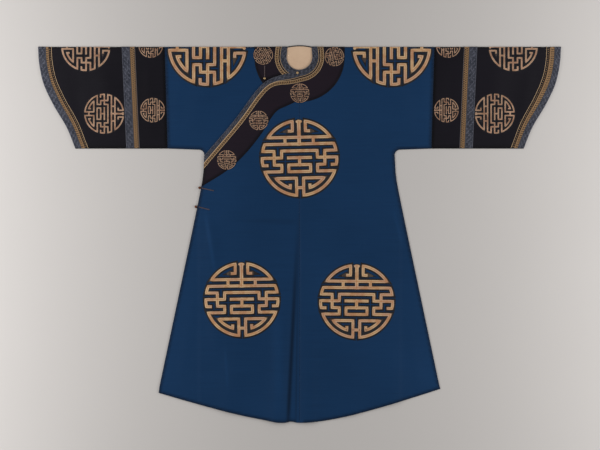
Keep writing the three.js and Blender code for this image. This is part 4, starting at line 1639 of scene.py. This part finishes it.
class ROBE_OT_closures(RobeOperator, bpy.types.Operator):
    """Make the ball buttons, their loops and the binding of the back's neck"""

    bl_idname = "robe.closures"
    bl_label = "Buttons, loops and binding"

    def execute(self, context):
        radius = context.scene.robe_sizes.ball / MM
        for name, finish, slot in (
            ("neck_button", "brass", "button"),
            ("collar_button", "brass", "button"),
            ("underarm_button", "copper", "toggle"),
            ("waist_button", "copper", "toggle"),
        ):
            low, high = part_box(name)
            centre = (Vector(low) + Vector(high)) / 2
            self.ball(name, centre, radius, finish_of(finish), slot)
        self.loops()
        self.binding()
        return {"FINISHED"}

    def ball(self, node, centre, radius, material, slot):
        """A ball with a fine band of ribs round its middle, between two grooves."""
        rings, around = 22, 32
        ring, turn = np.meshgrid(np.arange(1, rings), TWO_PI * np.arange(around) / around, indexing="ij")
        angle = math.pi * ring / rings
        ribs = 1 + 0.03 * (1 - np.minimum(1, np.abs(ring - rings / 2) / 3)) * np.cos(turn * 12)
        groove = np.where(np.abs(ring - rings // 2) == 4, 0.97, 1.0)
        out = np.sin(angle) * ribs * groove
        sides = np.stack([out * np.cos(turn), out * np.sin(turn), -np.cos(angle)], axis=-1)
        verts = np.vstack([[(0, 0, -1)], sides.reshape(-1, 3), [(0, 0, 1)]])
        verts = verts * radius * MM + np.array(centre)
        last = len(verts) - 1
        faces = [(0, 1 + (j + 1) % around, 1 + j) for j in range(around)]
        for i in range(rings - 2):
            for j in range(around):
                a = 1 + i * around + j
                b = 1 + i * around + (j + 1) % around
                faces.append((a, b, b + around, a + around))
        foot = 1 + (rings - 2) * around
        faces += [(foot + j, foot + (j + 1) % around, last) for j in range(around)]
        obj = make_mesh(f"ball_{node}", verts, faces, material)
        dress(obj, slot, node)

    def loops(self):
        """Each loop is a doubled cord, sewn down, that ends round its ball."""
        loops = {
            "collar_loop": [(-129, -70), (-129, -111)],
            "underarm_loop": [(-317, -532), (-362, -522)],
            "waist_loop": [(-333, -602), (-372, -592)],
        }
        for node, ends in loops.items():
            low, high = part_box(node)
            level = (low.z + high.z) / 2
            line = resample(ends, 3)
            lines = []
            for offset in (-LOOP_SPREAD, LOOP_SPREAD):
                moved = beside(line, offset)
                height = np.full(len(moved), level)
                lines.append(np.column_stack([moved[:, 0] * MM, (moved[:, 1] + SHOULDER_Y) * MM, height]))
            looks = {"Radius": LOOP_CORD * MM, "Material": finish_of("cord")}
            loop = follow(f"cord_{node}", lines, "cord", **looks)
            dress(loop, "braid", node)

    def binding(self):
        """A narrow dark binding along the back's neck edge."""
        xs = np.linspace(-50, 50, 41)
        edge = np.where(np.abs(xs) < NECK_HALF, neck_edge(xs), 0)
        level = np.interp(np.abs(xs), [42, 50], [1.8, 1.2])
        section = [(-3.9, 0), (-4.2, 0.6), (-3.8, 1.2), (-2.6, 1.5)]
        section += [(-1.2, 1.5), (-0.2, 1.1), (0, 0.5), (-0.4, 0)]
        placed = [np.column_stack([xs, edge + y + SHOULDER_Y, level + z]) * MM for y, z in section]
        widths = np.linspace(0, 1, len(section))
        obj = strip("binding_back_neck", placed, xs * MM, widths, finish_of("binding"))
        dress(obj, "satin", "back_neck_binding")


class ROBE_OT_stitches(RobeOperator, bpy.types.Operator):
    """Sew small stitches along the facing's outer edge, and round each sleeve at its band's seam and on
    its ribbon
    """

    bl_idname = "robe.stitches"
    bl_label = "Stitches"

    def execute(self, context):
        pitch = context.scene.robe_sizes.stitch_pitch / MM
        round_neck = arc(NECK_CENTRE, FACING_RADIUS - 1.6, 0, -95, 40)
        outer = np.vstack([round_neck, curve_through(FACING_EDGE, 60) + (0, 1.6)])
        lines = [lay_steps(cut_at(outer, side_cutter()), pitch, 2, FACING_TOP + 0.1, True)]
        for side in (1, -1):
            for ends in (BODY_END, CUFF_START):
                line = mirror(resample(sleeve_line(ends, 3.0), 5), side)
                lines.append(lay_steps(line, pitch, 4, 0.1, False))
        size = (0.0026, 0.0005, 0.0004)
        stitches = follow("edge_stitches", lines, "knots", Size=size, Material=finish_of("stitch"))
        dress(stitches, "satin")
        return {"FINISHED"}


class ROBE_OT_stage(RobeOperator, bpy.types.Operator):
    """Set up the floor, the soft light and the camera straight above"""

    bl_idname = "robe.stage"
    bl_label = "Stage"

    def execute(self, context):
        scene = context.scene
        sizes = scene.robe_sizes
        scene.view_settings.view_transform = "Standard"
        half = 12.0
        verts = np.array([(-half, -half, 0), (half, -half, 0), (half, half, 0), (-half, half, 0)])
        floor = make_mesh("floor", verts, [(0, 1, 2, 3)], finish_of("floor"))
        world = bpy.data.worlds.new("studio")
        scene.world = world
        world.use_nodes = True
        background = world.node_tree.nodes["Background"].inputs
        background["Color"].default_value = (1.0, 0.985, 0.97, 1.0)
        background["Strength"].default_value = 0.335
        for name, x, power in (("left light", -1.95, 41), ("right light", 1.95, 33.5)):
            data = bpy.data.lights.new(name, "AREA")
            data.shape = "RECTANGLE"
            data.size = 1.2
            data.size_y = 3.4
            data.energy = power
            lamp = bpy.data.objects.new(name, data)
            lamp.location = (x, 0.0, 1.25)
            lamp.visible_camera = False
            scene.collection.objects.link(lamp)
        camera = bpy.data.cameras.new("camera")
        camera.lens = sizes.lens
        camera.sensor_width = 36
        camera.clip_end = 100
        eye = bpy.data.objects.new("camera", camera)
        middle_x, middle_y = 0.0018, 0.0334
        eye.location = (middle_x, middle_y, sizes.lens * sizes.view_width / camera.sensor_width)
        scene.collection.objects.link(eye)
        scene.camera = eye
        return {"FINISHED"}


class ROBE_PT_panel(bpy.types.Panel):
    """Lists the robe's sizes, colours and pieces"""

    bl_label = "Court robe"
    bl_idname = "ROBE_PT_panel"
    bl_space_type = "VIEW_3D"
    bl_region_type = "UI"
    bl_category = "Robe"

    def draw(self, context):
        layout = self.layout
        for group in (context.scene.robe_sizes, context.scene.robe_colours):
            box = layout.box()
            for name in group.__annotations__:
                box.prop(group, name)
        for operator in PIECES:
            layout.operator(operator.bl_idname)


PIECES = (
    ROBE_OT_stage,
    ROBE_OT_silk,
    ROBE_OT_sleeves,
    ROBE_OT_facings,
    ROBE_OT_trims,
    ROBE_OT_roundels,
    ROBE_OT_closures,
    ROBE_OT_stitches,
)
CLASSES = (RobeSizes, RobeColours, *PIECES, ROBE_PT_panel)


def register():
    for cls in CLASSES:
        bpy.utils.register_class(cls)
    bpy.types.Scene.robe_sizes = bpy.props.PointerProperty(type=RobeSizes)
    bpy.types.Scene.robe_colours = bpy.props.PointerProperty(type=RobeColours)


def unregister():
    del bpy.types.Scene.robe_colours
    del bpy.types.Scene.robe_sizes
    for cls in reversed(CLASSES):
        bpy.utils.unregister_class(cls)


def main():
    register()
    for operator in PIECES:
        group, name = operator.bl_idname.split(".")
        getattr(getattr(bpy.ops, group), name)()


if __name__ == "__main__":
    main()
